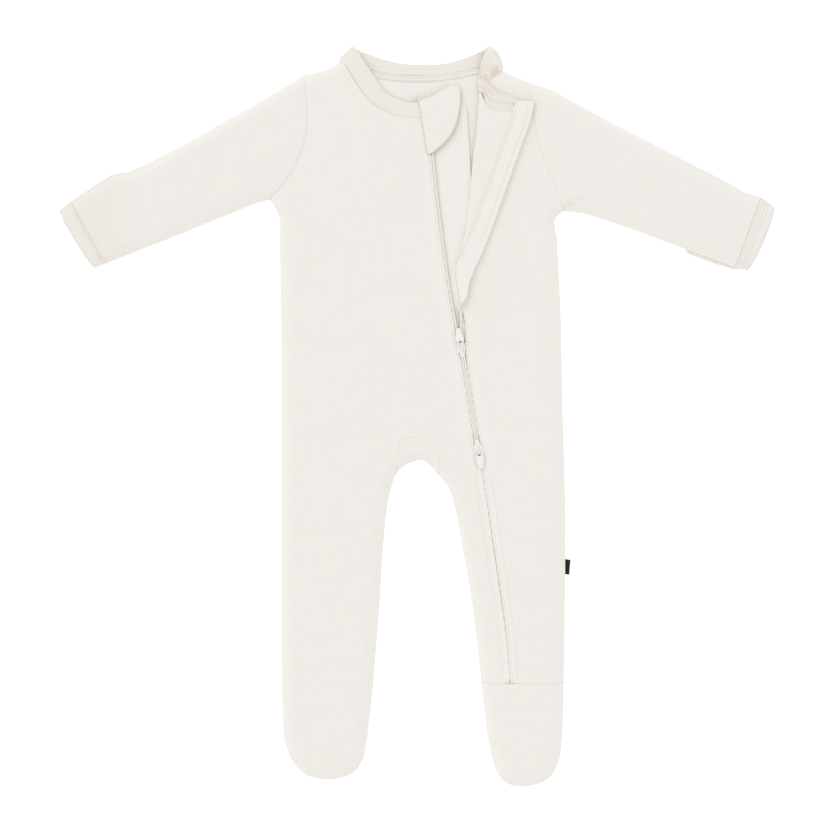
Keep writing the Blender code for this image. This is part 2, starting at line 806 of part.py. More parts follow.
def fold_points(heights):
    """Points along the lapel's fold, spread over its turn, and across its twist."""
    rows = heights[heights > LAPEL["y"][-1] + 2.0]
    arcs = [fold_line(rows) - FOLD_RADIUS * fold_turn(rows) * k / FOLD_STEPS
            for k in range(FOLD_STEPS + 1)]
    points = [np.column_stack([arc, rows]) for arc in arcs]
    twist = rows < TWIST_TOP_Y
    for past in TWIST_ROWS:
        points.append(np.column_stack([arcs[-1] - past, rows])[twist])
    return np.concatenate(points)


def make_front_left():
    neck_over = path(points_of(LEFT_NECK_OVER), 6.0)
    neck_under = path(points_of(LEFT_NECK_UNDER), 6.0)
    ys = zip_heights(neck_over[-1, 1], LEGS["y"][4])
    zip_side = np.column_stack([left_zip_edge(ys), ys])
    outline = closed(
        LEFT_SHOULDER_EDGE, LEFT_ARMHOLE_SEAM, between(RIM, LEFT_UNDERARM, ANKLE_OUTER),
        ankle_seam(ANKLE_OUTER[0], zip_side[0, 0]), zip_side,
        lapel_pattern(neck_over)[::-1], neck_under[::-1])
    heights = np.append(ys, np.arange(ys[-1] + 5.0, LAPEL["y"][0], 5.0))
    slab("front_left", outline, place_left, WALL, CLOTH_LOOK, extra=fold_points(heights))


def make_foot_left():
    outline = closed(between(RIM, ANKLE_INNER, ANKLE_OUTER),
                     ankle_seam(ANKLE_OUTER[0], ANKLE_INNER[0]))
    slab("foot_left", outline, place_front, WALL, CLOTH_LOOK)


def make_gusset():
    outline = closed(path(points_of(GUSSET_SEAM)),
                     between(RIM, GUSSET_LEFT, GUSSET_RIGHT))
    slab("gusset", outline, place_front, WALL, CLOTH_LOOK, grid=12.0)


def sleeve_rings(rows, seam, start, end, wall, proud):
    """Outer and inner rings of a flattened tube between two stations of its table."""
    stations = np.arange(len(rows["lift"]), dtype=float)
    tops, unders = sleeve_edges(rows)
    lengths = np.concatenate([[0.0], np.cumsum(np.linalg.norm(np.diff(seam, axis=0), axis=1))])
    across = lengths / lengths[-1]
    ahead = np.gradient(seam, axis=0)
    ahead /= np.linalg.norm(ahead, axis=1)[:, None]
    outward = np.sign(seam[0, 0]) * np.column_stack([-ahead[:, 1], ahead[:, 0]])
    start_line = tops[0] + across[:, None] * (unders[0] - tops[0])
    bow = seam + 0.6 * GAP * outward - start_line
    outer, inner = [], []
    for t in np.linspace(start, end, max(2, round((end - start) * 1.6) + 1)):
        a, b = spline(stations, tops, t), spline(stations, unders, t)
        lift = float(np.interp(t, stations, rows["lift"]))
        flat = a + across[:, None] * (b - a) + bow * max(0.0, 1.0 - t / 3.0)**1.5
        tuck = (b - a) / np.linalg.norm(b - a) * wall
        narrow = flat + (1.0 - 2.0 * across[:, None]) * tuck
        top = front_height(flat)
        middle = 0.5 * (top[0] + 0.5 * wall + lift)
        floor = np.full(len(across), lift)
        upper = np.maximum(top, lift + wall + GAP + 0.5 * wall) + 0.5 * wall + proud
        edge = np.array([flat[0] + tuck * -proud, flat[-1] + tuck * proud])
        outer.append(np.concatenate([
            np.column_stack([edge[:1], [middle]]), np.column_stack([flat, upper])[1:-1],
            np.column_stack([edge[1:], [middle]]), np.column_stack([flat, floor])[-2:0:-1]]))
        inner.append(np.concatenate([
            np.column_stack([narrow[:1], [middle]]),
            np.column_stack([narrow, upper - wall])[1:-1],
            np.column_stack([narrow[-1:], [middle]]),
            np.column_stack([narrow, floor + wall])[-2:0:-1]]))
    return outer, inner


def make_sleeve(side, rows, seam):
    wrist = len(rows["lift"]) - 1.0
    for name, start, end, wall, proud, look in (
            ("sleeve", 0.0, wrist - 1.006, WALL, 0.0, CLOTH_LOOK),
            ("cuff", wrist - 0.98, wrist, CUFF_WALL, 0.15, CUFF_LOOK)):
        outer, inner = sleeve_rings(rows, seam, start, end, wall, proud)
        tube(f"{name}_{side}", outer, inner, look)


def make_mitt(side, rows):
    slab(f"mitt_{side}", closed(points_of(rows)), place_flat, WALL, CLOTH_LOOK, grid=18.0,
         ring=False, middle=0.5 * WALL)


def make_neckband():
    names = "seam_x seam_y seam_z free_x free_y free_z bow".split()
    rows = np.column_stack([NECKBAND[name] for name in names])
    middle = 0.5 * (rows[:, :3] + rows[:, 3:6])
    steps = np.maximum(np.linalg.norm(np.diff(middle, axis=0), axis=1), 2.0)
    places = np.concatenate([[0.0], np.cumsum(steps)])
    stations = [np.linspace(a, b, max(2, round((b - a) / 4.5)), endpoint=False)
                for a, b in zip(places[:-1], places[1:])]
    rows = spline(places, rows, np.append(np.concatenate(stations), places[-1]), True)
    seam, free, bow = rows[:, :3], rows[:, 3:6], rows[:, 6:]
    middle = 0.5 * (seam + free)
    ahead = np.gradient(middle, axis=0)
    out = np.cross(ahead, free - seam)
    out /= np.linalg.norm(out, axis=1)[:, None]
    rings = []
    across = np.array([0.0, 0.5, 1.0])
    for i in range(len(rows)):
        line = [seam[i] + f * (free[i] - seam[i]) - out[i] * bow[i] * 4 * f * (1 - f)
                for f in across]
        ring = np.array([p + out[i] * 0.5 * BAND_WALL for p in line]
                        + [p - out[i] * 0.5 * BAND_WALL for p in line[::-1]])
        ring[:, 2] = np.maximum(ring[:, 2], 0.0)
        rings.append(ring)
    loft("neckband", rings, BAND_LOOK)


def make_placket():
    ys = np.arange(PLACKET["y"][-1], PLACKET["y"][0], 14.0)
    ys = np.append(ys, PLACKET["y"][0])
    centre = column(ZIP, "x", ys)
    outline = closed(
        np.column_stack([centre - column(PLACKET, "to_right", ys), ys]),
        np.column_stack([centre + column(PLACKET, "to_left", ys), ys])[::-1])
    slab("placket", outline, place_flat, WALL, CLOTH_LOOK, grid=26.0, ring=False,
         middle=1.5 * WALL + GAP)


def make_guard():
    outline = points_of(GUARD)
    middle = outline.mean(axis=0)

    def place_guard(points, h):
        points = np.atleast_2d(points)
        weights = 1.0 / (np.linalg.norm(points[:, None] - outline[None], axis=2) + 0.5)**2
        height = weights @ GUARD["height"] / weights.sum(axis=1)
        crown = 0.4 * np.exp(-np.sum((points - middle)**2, axis=1) / 150.0)
        return np.column_stack([points, height + crown + h])

    slab("zip_guard", closed(path(np.concatenate([outline, outline[:1]]), 6.0)),
         place_guard, BAND_WALL, CLOTH_LOOK, grid=9.0, ring=False,
         middle=0.5 * BAND_WALL)


def coil_line(side, y):
    """Middle edge of a coil, unfolded; on the lapel it runs beside the cloth's edge."""
    closed_line = column(ZIP, "x", y) + side * coil_half_gap(y)
    if side < 0:
        return closed_line
    free = 1.0 - ease(y, SLIDERS["y"][0] + 30.0, 26.0)
    turned = left_zip_edge(y) - COIL_WIDTH - GAP
    return closed_line + free * (turned - closed_line)


def make_zip_half(side, name, place):
    ys = zip_heights(TAPE_TOP_Y, ZIP_END_Y)
    drop = COIL_DROP * ease(ys, COIL_DROP_Y, COIL_DROP_RUN)
    edge = coil_line(side, ys)
    width = TAPE_WIDTH
    if side > 0:
        width = LAPEL_TAPE_WIDTH + (TAPE_WIDTH - LAPEL_TAPE_WIDTH) * ease(ys, 84.0, 25.0)
    outer = np.column_stack([edge + side * width, ys])
    outline = closed(np.column_stack([edge, ys]), outer[::-1])

    def place_tape(points, h):
        y = points[:, 1]
        deeper = COIL_DROP * ease(y, COIL_DROP_Y, COIL_DROP_RUN)
        if side > 0:
            deeper = deeper + TWIST_SLACK * np.exp(-((y - TWIST_Y) / 16.0)**4)
        return place(points, h - deeper)

    slab(f"zip_tape_{name}", outline, place_tape, TAPE_WALL, TAPE_LOOK, grid=60.0,
         ring=False, extra=fold_points(ys) if side > 0 else None,
         middle=-0.5 * WALL - GAP - 0.5 * TAPE_WALL)
    low = -0.5 * WALL
    profile = [(0.1, low), (COIL_WIDTH - 0.1, low), (COIL_WIDTH, low + 0.5 * COIL_HEIGHT),
               (COIL_WIDTH - 0.3, low + COIL_HEIGHT), (0.3, low + COIL_HEIGHT),
               (0.0, low + 0.5 * COIL_HEIGHT)]
    rings = [np.concatenate([place(np.array([(c + side * w, y)]), h - d)
                             for w, h in profile])
             for c, y, d in zip(edge, ys, drop)]
    loft(f"coil_{name}", rings, COIL_LOOK)


def slider_axes(y, way):
    """Origin on the pull's axis, and the directions across, along and up."""
    slope = float(column(ZIP, "x", y + 2.0) - column(ZIP, "x", y - 2.0)) / 4.0
    along = np.array([slope, 1.0, 0.0]) * way
    along /= np.linalg.norm(along)
    up = np.array([0.0, 0.0, 1.0])
    origin = np.array([float(column(ZIP, "x", y)), y, 0.0])
    return origin, np.cross(along, up), along, up


def slider_levels(y):
    """Heights of the lower plate's top and the upper plate's underside and top."""
    middle = float(front_height([(float(column(ZIP, "x", y)), y)])[0])
    tape_low = middle - 0.5 * WALL - GAP - TAPE_WALL
    coil_top = middle - 0.5 * WALL + COIL_HEIGHT
    return tape_low - GAP, coil_top + GAP, coil_top + GAP + SLIDER_PLATE


def make_slider(name, y, way):
    axes = slider_axes(y, way)
    low, under, top = slider_levels(y)
    plate = [(-1.9, -8.8), (1.9, -8.8), (2.3, -5.4), (3.3, -2.6), (3.5, 2.4), (2.6, 3.6),
             (-2.6, 3.6), (-3.5, 2.4), (-3.3, -2.6), (-2.3, -5.4)]
    body = prism(name, plate, axes, under, top, PLASTIC_LOOK)
    lower = prism("lower", plate, axes, low - SLIDER_PLATE + 0.1, low, PLASTIC_LOOK)
    post = [(-0.2, -0.6), (0.2, -0.6), (0.6, 1.0), (0.6, 3.2), (-0.6, 3.2), (-0.6, 1.0)]
    post = prism("post", post, axes, low - 0.2, under + 0.2, PLASTIC_LOOK)
    combine(combine(body, post), lower)
    origin, across, along, up = axes
    reach, inner = BRIDGE_HALF_LENGTH, BRIDGE_INNER_RISE
    crown = inner + BRIDGE_WALL
    arch = [(-reach, -0.2), (-reach + 1.0, -0.2), (-reach + 1.0, inner - 0.5),
            (-reach + 1.5, inner), (reach - 1.5, inner), (reach - 1.0, inner - 0.5),
            (reach - 1.0, -0.2), (reach, -0.2), (reach, crown - 0.8), (reach - 0.8, crown),
            (-reach + 0.8, crown), (-reach, crown - 0.8)]
    side = (origin + up * top, along, up, np.cross(along, up))
    bridge = prism("bridge", arch, side, -BRIDGE_HALF_WIDTH, BRIDGE_HALF_WIDTH,
                   PLASTIC_LOOK)
    combine(body, bridge)


def make_pull(name, y, way):
    """Pull tab: a bar under the slider's bridge, two arms and a tapered plate."""
    axes = slider_axes(y, way)
    height = slider_levels(y)[2] + PULL_AXIS_RISE
    half = [(2.2, -0.5), (2.4, 3.4), (3.3, 4.6), (3.2, 7.0), (2.4, 11.6), (1.9, 14.2),
            (1.2, 14.9)]
    outline = half + [(-x, a) for x, a in half[::-1]]
    pull = prism(name, outline, axes, height - 0.5 * PULL_WALL, height + 0.5 * PULL_WALL,
                 PLASTIC_LOOK)
    slot = [(1.1, 0.5), (1.1, 4.3), (-1.1, 4.3), (-1.1, 0.5)]
    cutter = prism("slot", slot, axes, height - PULL_WALL, height + PULL_WALL, PLASTIC_LOOK)
    return combine(pull, cutter, "DIFFERENCE")


def make_label():
    seam = float(column(LEGS, "left_outer", LABEL_Y)) + GAP
    low, high = LABEL_Y - 0.5 * LABEL_LENGTH, LABEL_Y + 0.5 * LABEL_LENGTH
    outline = np.array([(seam, low), (seam + LABEL_REACH, low + 0.6),
                        (seam + LABEL_REACH, high + 0.6), (seam, high)])
    slab("label", outline, place_flat, LABEL_WALL, (BLACK, 0.7), grid=20.0, ring=False,
         middle=WALL + 0.5 * GAP)


def settle():
    """Moves every piece so that the whole lies centred on the origin, on z = 0."""
    bpy.context.view_layer.update()
    pieces = [o for o in bpy.context.scene.objects if o.type == "MESH"]
    corners = np.array([o.matrix_world @ v.co for o in pieces for v in o.data.vertices])
    low, high = corners.min(axis=0), corners.max(axis=0)
    shift = Vector((-0.5 * (low[0] + high[0]), -0.5 * (low[1] + high[1]), -low[2]))
    for piece in pieces:
        piece.data.transform(piece.matrix_world)
        piece.data.transform(piece.matrix_world.Translation(shift))
        piece.matrix_world.identity()
    return shift


def place_origin(name, point):
    """Puts an object's origin on a point of its joint's axis."""
    made = bpy.data.objects[name]
    made.data.transform(made.matrix_world.Translation(-point))
    made.location = point


def main():
    for old in list(bpy.data.objects):
        bpy.data.objects.remove(old)
    make_back()
    make_front_right()
    make_front_left()
    make_foot_left()
    make_gusset()
    make_sleeve("right", RIGHT_SLEEVE, RIGHT_ARMHOLE_SEAM)
    make_sleeve("left", LEFT_SLEEVE, LEFT_ARMHOLE_SEAM)
    make_mitt("right", RIGHT_MITT)
    make_mitt("left", LEFT_MITT)
    make_neckband()
    make_placket()
    make_guard()
    make_zip_half(-1, "right", place_front)
    make_zip_half(1, "left", place_left)
    for name, y, way in zip(("top", "bottom"), SLIDERS["y"], SLIDERS["way"]):
        make_slider(f"slider_{name}", y, way)
        make_pull(f"pull_{name}", y, way)
    make_label()
    shift = settle()
    for name, y, way in zip(("top", "bottom"), SLIDERS["y"], SLIDERS["way"]):
        origin = slider_axes(y, way)[0]
        origin[2] = slider_levels(y)[2] + PULL_AXIS_RISE
        place_origin(f"pull_{name}", Vector(origin * MM) + shift)


main()
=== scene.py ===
"""Looks of the footed baby sleepsuit: jersey panels, rib neckband, zip and stitches.

Lengths are millimetres, as in the part's source, until a mesh is made.  X runs to the
wearer's left, Y to the head and Z up.
"""

import json
import math

import bpy
import numpy as np
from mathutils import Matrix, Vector
from mathutils.geometry import delaunay_2d_cdt


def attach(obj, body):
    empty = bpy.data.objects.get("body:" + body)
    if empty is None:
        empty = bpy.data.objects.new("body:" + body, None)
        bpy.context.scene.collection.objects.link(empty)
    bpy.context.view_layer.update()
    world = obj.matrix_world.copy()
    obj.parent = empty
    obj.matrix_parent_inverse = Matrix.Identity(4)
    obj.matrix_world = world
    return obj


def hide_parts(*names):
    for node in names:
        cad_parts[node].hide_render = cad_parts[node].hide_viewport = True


MM = 0.001
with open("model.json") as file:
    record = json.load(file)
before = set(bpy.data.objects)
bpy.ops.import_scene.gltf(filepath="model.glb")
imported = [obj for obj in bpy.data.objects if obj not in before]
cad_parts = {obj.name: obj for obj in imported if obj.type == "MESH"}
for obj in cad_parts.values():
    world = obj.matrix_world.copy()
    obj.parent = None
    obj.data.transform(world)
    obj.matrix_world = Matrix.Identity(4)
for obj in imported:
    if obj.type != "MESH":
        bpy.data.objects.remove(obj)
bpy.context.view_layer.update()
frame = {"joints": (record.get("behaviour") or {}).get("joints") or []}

# Cloth and layers
WALL = 1.2                  # jersey wall
GAP = 0.3                   # clearance between the solids' pieces
SEAM = -0.07                # inset of a panel: below 0, so that sewn edges meet
BAND_WALL = 1.6             # neckband and guard, folded double
CUFF_WALL = 1.5
TAPE_WALL = 1.0             # zip tape
LOFT = 4.2                  # how far the fronts stand off the back inside the rim
LOFT_RUN = 9.5              # distance from the rim over which they rise
EDGE_STEP = 8.5             # spacing of points along the solids' edges
FINE_STEP = 2.4             # spacing of points along the shown edges

# Zip
TAPE_WIDTH = 12.5
LAPEL_TAPE_WIDTH = 15.5
COIL_WIDTH = 1.6            # one half of the coil
COIL_HEIGHT = 1.0
COIL_HALF_GAP = 0.17        # between the closed halves
COIL_PITCH = 1.3
COIL_WIRE = 0.33            # the wire's radius
COIL_HEAD = 0.37            # and where the halves hook into each other
POST_SPREAD = 0.8           # the halves part round each slider's post
POST_RUN = 4.0
POST_PLACE = 1.3            # its middle, ahead of the pull's axis
ZIP_HALF_OPENING = 1.92     # cloth edge to the zip's centre line
ZIP_HALF_CLOSED = 0.02      # the same where the cloth edges lie together
SLIDER_BULGE = 0.3          # cloth edges spread round a slider
SLIDER_BULGE_RUN = 13.0
COVER_TOP_Y = -35.5         # below here the cloth edges close over the coil
COVER_RUN = 6.5
COIL_DROP = 1.3             # how much deeper the coil lies, below COIL_DROP_Y
COIL_DROP_Y = -33.0
COIL_DROP_RUN = 4.5
ZIP_END_Y = -211.6
ZIP_TOP_Y = 239.0
TAPE_TOP_Y = 251.5

# Lapel
FOLD_RADIUS = 1.1
FOLD_STEPS = 10             # columns of points over the fold's turn
LAPEL_FOOT_Y = 76.0         # where the lapel pulls the left edge aside, over the slider
LAPEL_FOOT_SPREAD = 4.5
LAPEL_FOOT_RUN = 16.0
TWIST_Y = 125.0
TWIST_SLACK = 0.2           # the tape stands off the cloth where it twists
TWIST_RUN = 16.0

# Sewing beside the zip, as distances from the cloth's edge
TOPSTITCH = 2.2
TOPSTITCH_LOW = 2.2         # how much farther the right front's lies below COVER_TOP_Y
HEM_LINE = 6.6              # edge of the doubled cloth, seen as a faint line
HEM_LINE_TOP_Y = COVER_TOP_Y - 4.0
STITCH_GROOVE = (0.28, 0.55)            # depth and half width
HEM_GROOVE = (0.14, 0.6)
PUCKER = (2.6, 8.5, 0.10)               # reach, pitch and height of the waves at a seam

# Other stitches: along the lapel's tape, up through the neckband at the lapel's edge, and
# the overlock inside the back neck, from its seam
LAPEL_STITCH_ENDS = (246.0, 112.0)
LAPEL_STITCH_AWAY = (4.4, LAPEL_TAPE_WIDTH - 1.6)
LAPEL_TOP_X = (77.4, 79.3, 81.2)
LAPEL_TOP_ENDS = (242.5, 254.0)
LAPEL_TOP_RISE = 9.25
NECK_STITCH_AWAY = (1.6, 5.6)

# How far the back and the placket billow up inside the open front
BILLOW = 2.9
BILLOW_REACH = 9.0          # outside the opening
BILLOW_RUN = 7.0

# Neckband
BAND_REACH = 1.2            # how far the band runs on to the cloth's edge
BAND_STITCH = 3.6           # from the band's seam edge, tuck included

# Sleeves
HEM_BOW = {"right": 1.6, "left": 2.4}       # how far the wrist's edge curves out
# Rows of stitches at the wrist, in stations before the last one
HEM_ROWS = {"right": (1.04, 0.78), "left": (1.04, 0.82, 0.6, 0.38)}
CUFF_PROUD = 0.15           # how far the cuffs stand out from the sleeves
MITT_ROOM = 1.5             # height of the sleeve's underside over the mitt
SLEEVE_STEP = 2.6

# Stage
LIGHT = (0.955, 0.965, 1.0)
FILL = 0.927
KEY = 0.35
KEY_ANGLE = 24.0
KEY_TOWARDS = (-0.55, 0.62, 0.80)
FLOOR_HALF = 3.0
FLOOR_GREY = 0.30
FLOOR_GLOW = 0.95
LENS = 85.0
SENSOR = 36.0
PICTURE_WIDTH = 0.672       # metres across the picture, at the height below
PICTURE_HEIGHT = 0.006
PICTURE_CENTRE = (2.8, -3.2)


def table(columns, *rows):
    """Named columns of a table, each an array that runs down its rows."""
    return {name: np.array([row[i] for row in rows], float)
            for i, name in enumerate(columns.split())}


# Rim of the legs: one row for each section across both legs.
LEGS = table(
    "y       right_outer right_inner left_inner left_outer",
    (-71.0,  -108.4,     -23.2,      30.0,      119.2),
    (-107.0, -108.4,     -27.0,      37.2,      119.3),
    (-155.0, -108.4,     -30.0,      45.2,      118.9),
    (-190.0, -108.3,     -32.8,      49.6,      118.4),
    (-213.0, -107.9,     -34.6,      52.0,      118.0),
    (-239.0, -107.3,     -37.4,      54.8,      117.5),
    (-263.0, -105.0,     -40.4,      58.2,      116.2))

ANKLE_ROW = 4               # the left ankle's seam runs across here

# How far the ankle seam hangs below a straight line, from its inner end at 0 to 1.
ANKLE_SAG = table(
    "place sag",
    (0.0,  0.3),
    (0.1,  1.4),
    (0.22, 1.5),
    (0.42, 0.8),
    (0.7,  1.3),
    (0.9,  1.3),
    (1.0,  0.3))

# Sides of the body above the legs, one row for each section.
BODY = table(
    "y      right_side left_side",
    (160.0, -110.2,    112.3),
    (140.0, -109.7,    112.8),
    (85.0,  -108.7,    115.4),
    (13.0,  -108.4,    116.9),
    (-35.0, -108.4,    118.3))

# Points round each toe, from the outside of the right foot and the inside of the left.
RIGHT_TOE = np.array([
    (-100.2, -275.5), (-90.5, -286.3), (-80.5, -290.4), (-71.0, -291.4), (-60.5, -290.0),
    (-50.5, -285.6), (-43.6, -276.5)])
LEFT_TOE = np.array([
    (61.0, -275.2), (65.2, -286.5), (73.0, -294.6), (83.0, -297.0), (95.0, -295.4),
    (106.0, -290.4), (113.2, -279.0)])

# Crotch, from the right inseam over the gusset to the left inseam.
CROTCH = np.array([
    (-20.6, -58.5), (-16.0, -46.5), (-9.8, -39.8), (-1.0, -36.2), (5.2, -35.3),
    (10.4, -39.4), (17.4, -46.8), (25.4, -56.5)])
GUSSET_SEAM = np.array([
    (-16.0, -46.5), (-14.6, -27.0), (-12.0, -18.4), (-6.5, -17.2), (0.0, -17.2),
    (6.0, -18.6), (12.0, -22.2), (17.0, -28.5), (17.4, -46.8)])

# Shoulders and armholes, from the neck to the underarm.
RIGHT_SHOULDER = np.array([
    (-60.2, 285.0), (-68.4, 279.4), (-77.0, 276.4), (-90.4, 273.4)])
RIGHT_ARMHOLE = np.array([
    (-90.4, 273.4), (-88.0, 256.0), (-86.8, 242.0), (-87.6, 226.4), (-92.0, 210.4),
    (-99.0, 196.0), (-108.8, 182.6), (-117.0, 173.6)])
LEFT_SHOULDER = np.array([
    (66.6, 277.6), (76.0, 273.2), (90.2, 267.6)])
LEFT_ARMHOLE = np.array([
    (90.2, 267.6), (91.0, 252.8), (94.0, 233.6), (101.2, 208.0), (108.2, 188.4),
    (114.0, 175.0), (117.6, 164.2)])

# Neck seams: of the back, of the right front, and of the left front's two layers.
BACK_NECK = np.array([
    (-59.4, 284.4), (-46.0, 279.8), (-32.4, 276.4), (-12.4, 273.6), (8.0, 273.4),
    (34.0, 276.2), (50.0, 279.4), (65.8, 277.2)])
RIGHT_NECK = np.array([
    (-60.2, 285.0), (-50.8, 270.4), (-42.8, 258.4), (-32.4, 248.0), (-22.0, 242.2),
    (-10.8, 239.6), (2.0, 239.0), (8.8, 239.0)])
LEFT_NECK_UNDER = np.array([
    (66.6, 277.6), (61.0, 270.4), (56.0, 264.6), (51.4, 259.4)])
LEFT_NECK_OVER = np.array([
    (51.4, 259.4), (54.6, 251.4), (59.4, 245.6), (66.0, 243.8), (76.4, 243.0),
    (86.0, 243.0)])

# Centre line of the zip.
ZIP = table(
    "y       x",
    (262.0,  8.6),
    (239.0,  11.0),
    (209.0,  13.9),
    (180.0,  16.9),
    (145.0,  21.2),
    (116.0,  25.2),
    (89.0,   29.4),
    (58.4,   35.2),
    (25.0,   41.0),
    (-5.6,   45.8),
    (-44.0,  52.2),
    (-91.0,  58.9),
    (-123.0, 63.4),
    (-163.0, 68.4),
    (-195.0, 72.4),
    (-214.0, 74.5))

# How far both cloth edges lean to the left of the closed coil.
LEAN = table(
    "y       aside",
    (-211.0, 0.3),
    (-195.0, 1.2),
    (-176.0, 1.8),
    (-112.0, 0.8),
    (-70.0,  0.5),
    (-42.0,  0.0))

# Lapel of the left front: where its fold lies, how wide the turned part is and how far
# it is turned, one row for each section from the neck to the top slider.
LAPEL = table(
    "y      fold_x width turn",
    (262.0, 51.0,  43.0, 180.0),
    (250.0, 50.2,  42.0, 180.0),
    (235.0, 49.0,  39.8, 180.0),
    (212.0, 46.4,  34.1, 180.0),
    (180.0, 43.2,  26.0, 180.0),
    (152.0, 40.0,  19.2, 180.0),
    (128.0, 35.0,  14.6, 180.0),
    (115.0, 33.4,  10.3, 178.0),
    (105.0, 34.2,  6.4,  168.0),
    (96.0,  35.8,  4.0,  155.0),
    (88.0,  37.4,  2.6,  95.0),
    (80.0,  38.4,  0.9,  25.0),
    (74.0,  38.8,  0.0,  0.0))

LAPEL_END_Y = LAPEL["y"][-1]

# Sleeves: the folded top edge and the underarm edge of each section, from the armhole to
# the cuff seam and the wrist.  lift is the height of the underside over the mitt.
RIGHT_SLEEVE = table(
    "top_x   top_y  under_x under_y lift",
    (-90.8,  273.6, -117.4, 173.4,  0.0),
    (-108.0, 263.2, -130.0, 170.0,  0.0),
    (-125.0, 252.8, -146.0, 163.3,  0.0),
    (-150.0, 238.8, -170.0, 153.6,  0.0),
    (-180.0, 221.8, -192.0, 144.6,  0.0),
    (-208.0, 206.6, -210.0, 137.4,  1.5),
    (-223.4, 199.4, -221.0, 133.2,  1.5),
    (-231.4, 196.0, -225.6, 131.4,  1.5),
    (-242.3, 194.4, -231.0, 129.2,  1.5),
    (-252.5, 188.8, -236.6, 127.0,  1.5),
    (-269.2, 177.9, -245.4, 123.5,  1.5),
    (-277.2, 172.2, -249.8, 121.8,  1.5),
    (-286.2, 165.0, -258.0, 118.4,  1.5))
LEFT_SLEEVE = table(
    "top_x  top_y  under_x under_y lift",
    (90.6,  267.6, 118.0,  164.0,  0.0),
    (108.0, 262.2, 132.0,  162.4,  0.0),
    (125.0, 252.8, 148.0,  158.0,  0.0),
    (150.0, 239.2, 170.0,  150.6,  0.0),
    (180.0, 223.4, 192.0,  142.4,  0.0),
    (208.0, 208.8, 207.0,  136.8,  1.5),
    (222.0, 201.6, 219.0,  132.4,  1.5),
    (236.0, 194.6, 228.6,  129.0,  1.5),
    (250.0, 187.2, 238.0,  125.4,  1.5),
    (263.0, 179.8, 246.6,  122.4,  1.5),
    (276.4, 175.2, 255.4,  119.4,  1.5),
    (286.8, 167.8, 265.4,  116.4,  1.5))

# Scratch mitts under the wrists, corner by corner.
RIGHT_MITT = np.array([
    (-283.4, 165.0), (-276.0, 171.2), (-252.0, 187.4), (-243.0, 192.6), (-235.0, 194.0),
    (-228.0, 176.0), (-217.0, 146.0), (-217.6, 137.0), (-222.0, 134.6), (-258.4, 120.4)])
LEFT_MITT = np.array([
    (264.2, 117.4), (283.6, 165.0), (276.0, 171.4), (236.0, 192.6), (231.0, 187.4),
    (222.0, 160.0), (215.6, 134.4), (217.0, 130.8), (222.0, 128.6), (230.0, 125.6),
    (242.0, 121.4), (254.0, 118.0)])

# Neckband: seam edge and free edge of each section, with their heights.  It starts at the
# zip on the right front, turns over at the right shoulder, passes behind the neck, turns
# over at the left shoulder and again at the lapel's fold, and ends at the lapel's edge.
NECKBAND = table(
    "seam_x seam_y  seam_z free_x free_y  free_z bow",
    (8.2,   239.5,  6.6,   7.0,   250.6,  6.6,   0.0),
    (0.0,   239.5,  6.5,   -1.6,  250.8,  6.5,   0.0),
    (-11.0, 240.1,  6.3,   -13.2, 253.0,  6.3,   0.0),
    (-21.7, 242.8,  6.3,   -24.6, 259.4,  6.1,   0.0),
    (-32.0, 248.5,  6.2,   -32.4, 270.6,  5.7,   0.0),
    (-42.3, 258.8,  5.8,   -38.8, 279.6,  5.1,   0.0),
    (-50.3, 270.8,  5.0,   -43.2, 286.6,  4.5,   0.0),
    (-57.4, 281.6,  4.0,   -46.8, 292.6,  4.0,   0.2),
    (-61.2, 286.4,  2.5,   -50.8, 296.4,  2.5,   0.5),
    (-58.8, 285.6,  0.8,   -48.0, 294.4,  0.8,   0.0),
    (-45.8, 280.6,  0.8,   -36.8, 289.8,  0.8,   0.0),
    (-32.2, 277.2,  0.8,   -25.0, 285.8,  0.8,   0.0),
    (-12.3, 274.4,  0.8,   -8.0,  282.4,  0.8,   0.0),
    (8.0,   274.2,  0.8,   9.0,   281.8,  0.8,   0.0),
    (34.0,  277.0,  0.8,   31.0,  284.8,  0.8,   0.0),
    (50.0,  280.2,  0.8,   44.6,  289.6,  0.8,   0.0),
    (62.6,  280.2,  0.8,   53.8,  293.8,  0.8,   0.0),
    (68.8,  279.0,  3.0,   58.0,  296.4,  3.0,   2.0),
    (63.6,  276.2,  5.2,   54.6,  290.6,  5.2,   0.6),
    (57.6,  269.0,  6.0,   51.2,  281.4,  5.6,   0.0),
    (52.8,  263.4,  6.3,   50.2,  274.0,  6.3,   0.0),
    (50.5,  261.0,  7.4,   49.6,  269.4,  7.4,   0.0),
    (52.8,  260.2,  8.5,   53.4,  267.4,  8.9,   0.0),
    (56.1,  252.6,  8.5,   59.0,  261.2,  9.3,   0.0),
    (60.5,  247.1,  8.5,   64.0,  257.0,  9.0,   0.0),
    (66.4,  245.0,  8.5,   68.8,  255.6,  8.8,   0.0),
    (76.4,  243.8,  8.5,   77.4,  254.6,  8.5,   0.0),
    (90.6,  243.9,  8.5,   90.8,  250.8,  8.5,   0.0))

# Inner placket behind the zip: how far it reaches to each side of the zip's centre line.
PLACKET = table(
    "y       to_right to_left",
    (255.4,  9.0,     27.6),
    (248.0,  9.0,     29.6),
    (227.0,  9.0,     29.4),
    (208.0,  9.0,     28.8),
    (180.0,  9.0,     27.6),
    (120.0,  9.0,     24.0),
    (40.0,   9.0,     20.0),
    (-211.0, 8.0,     18.0))

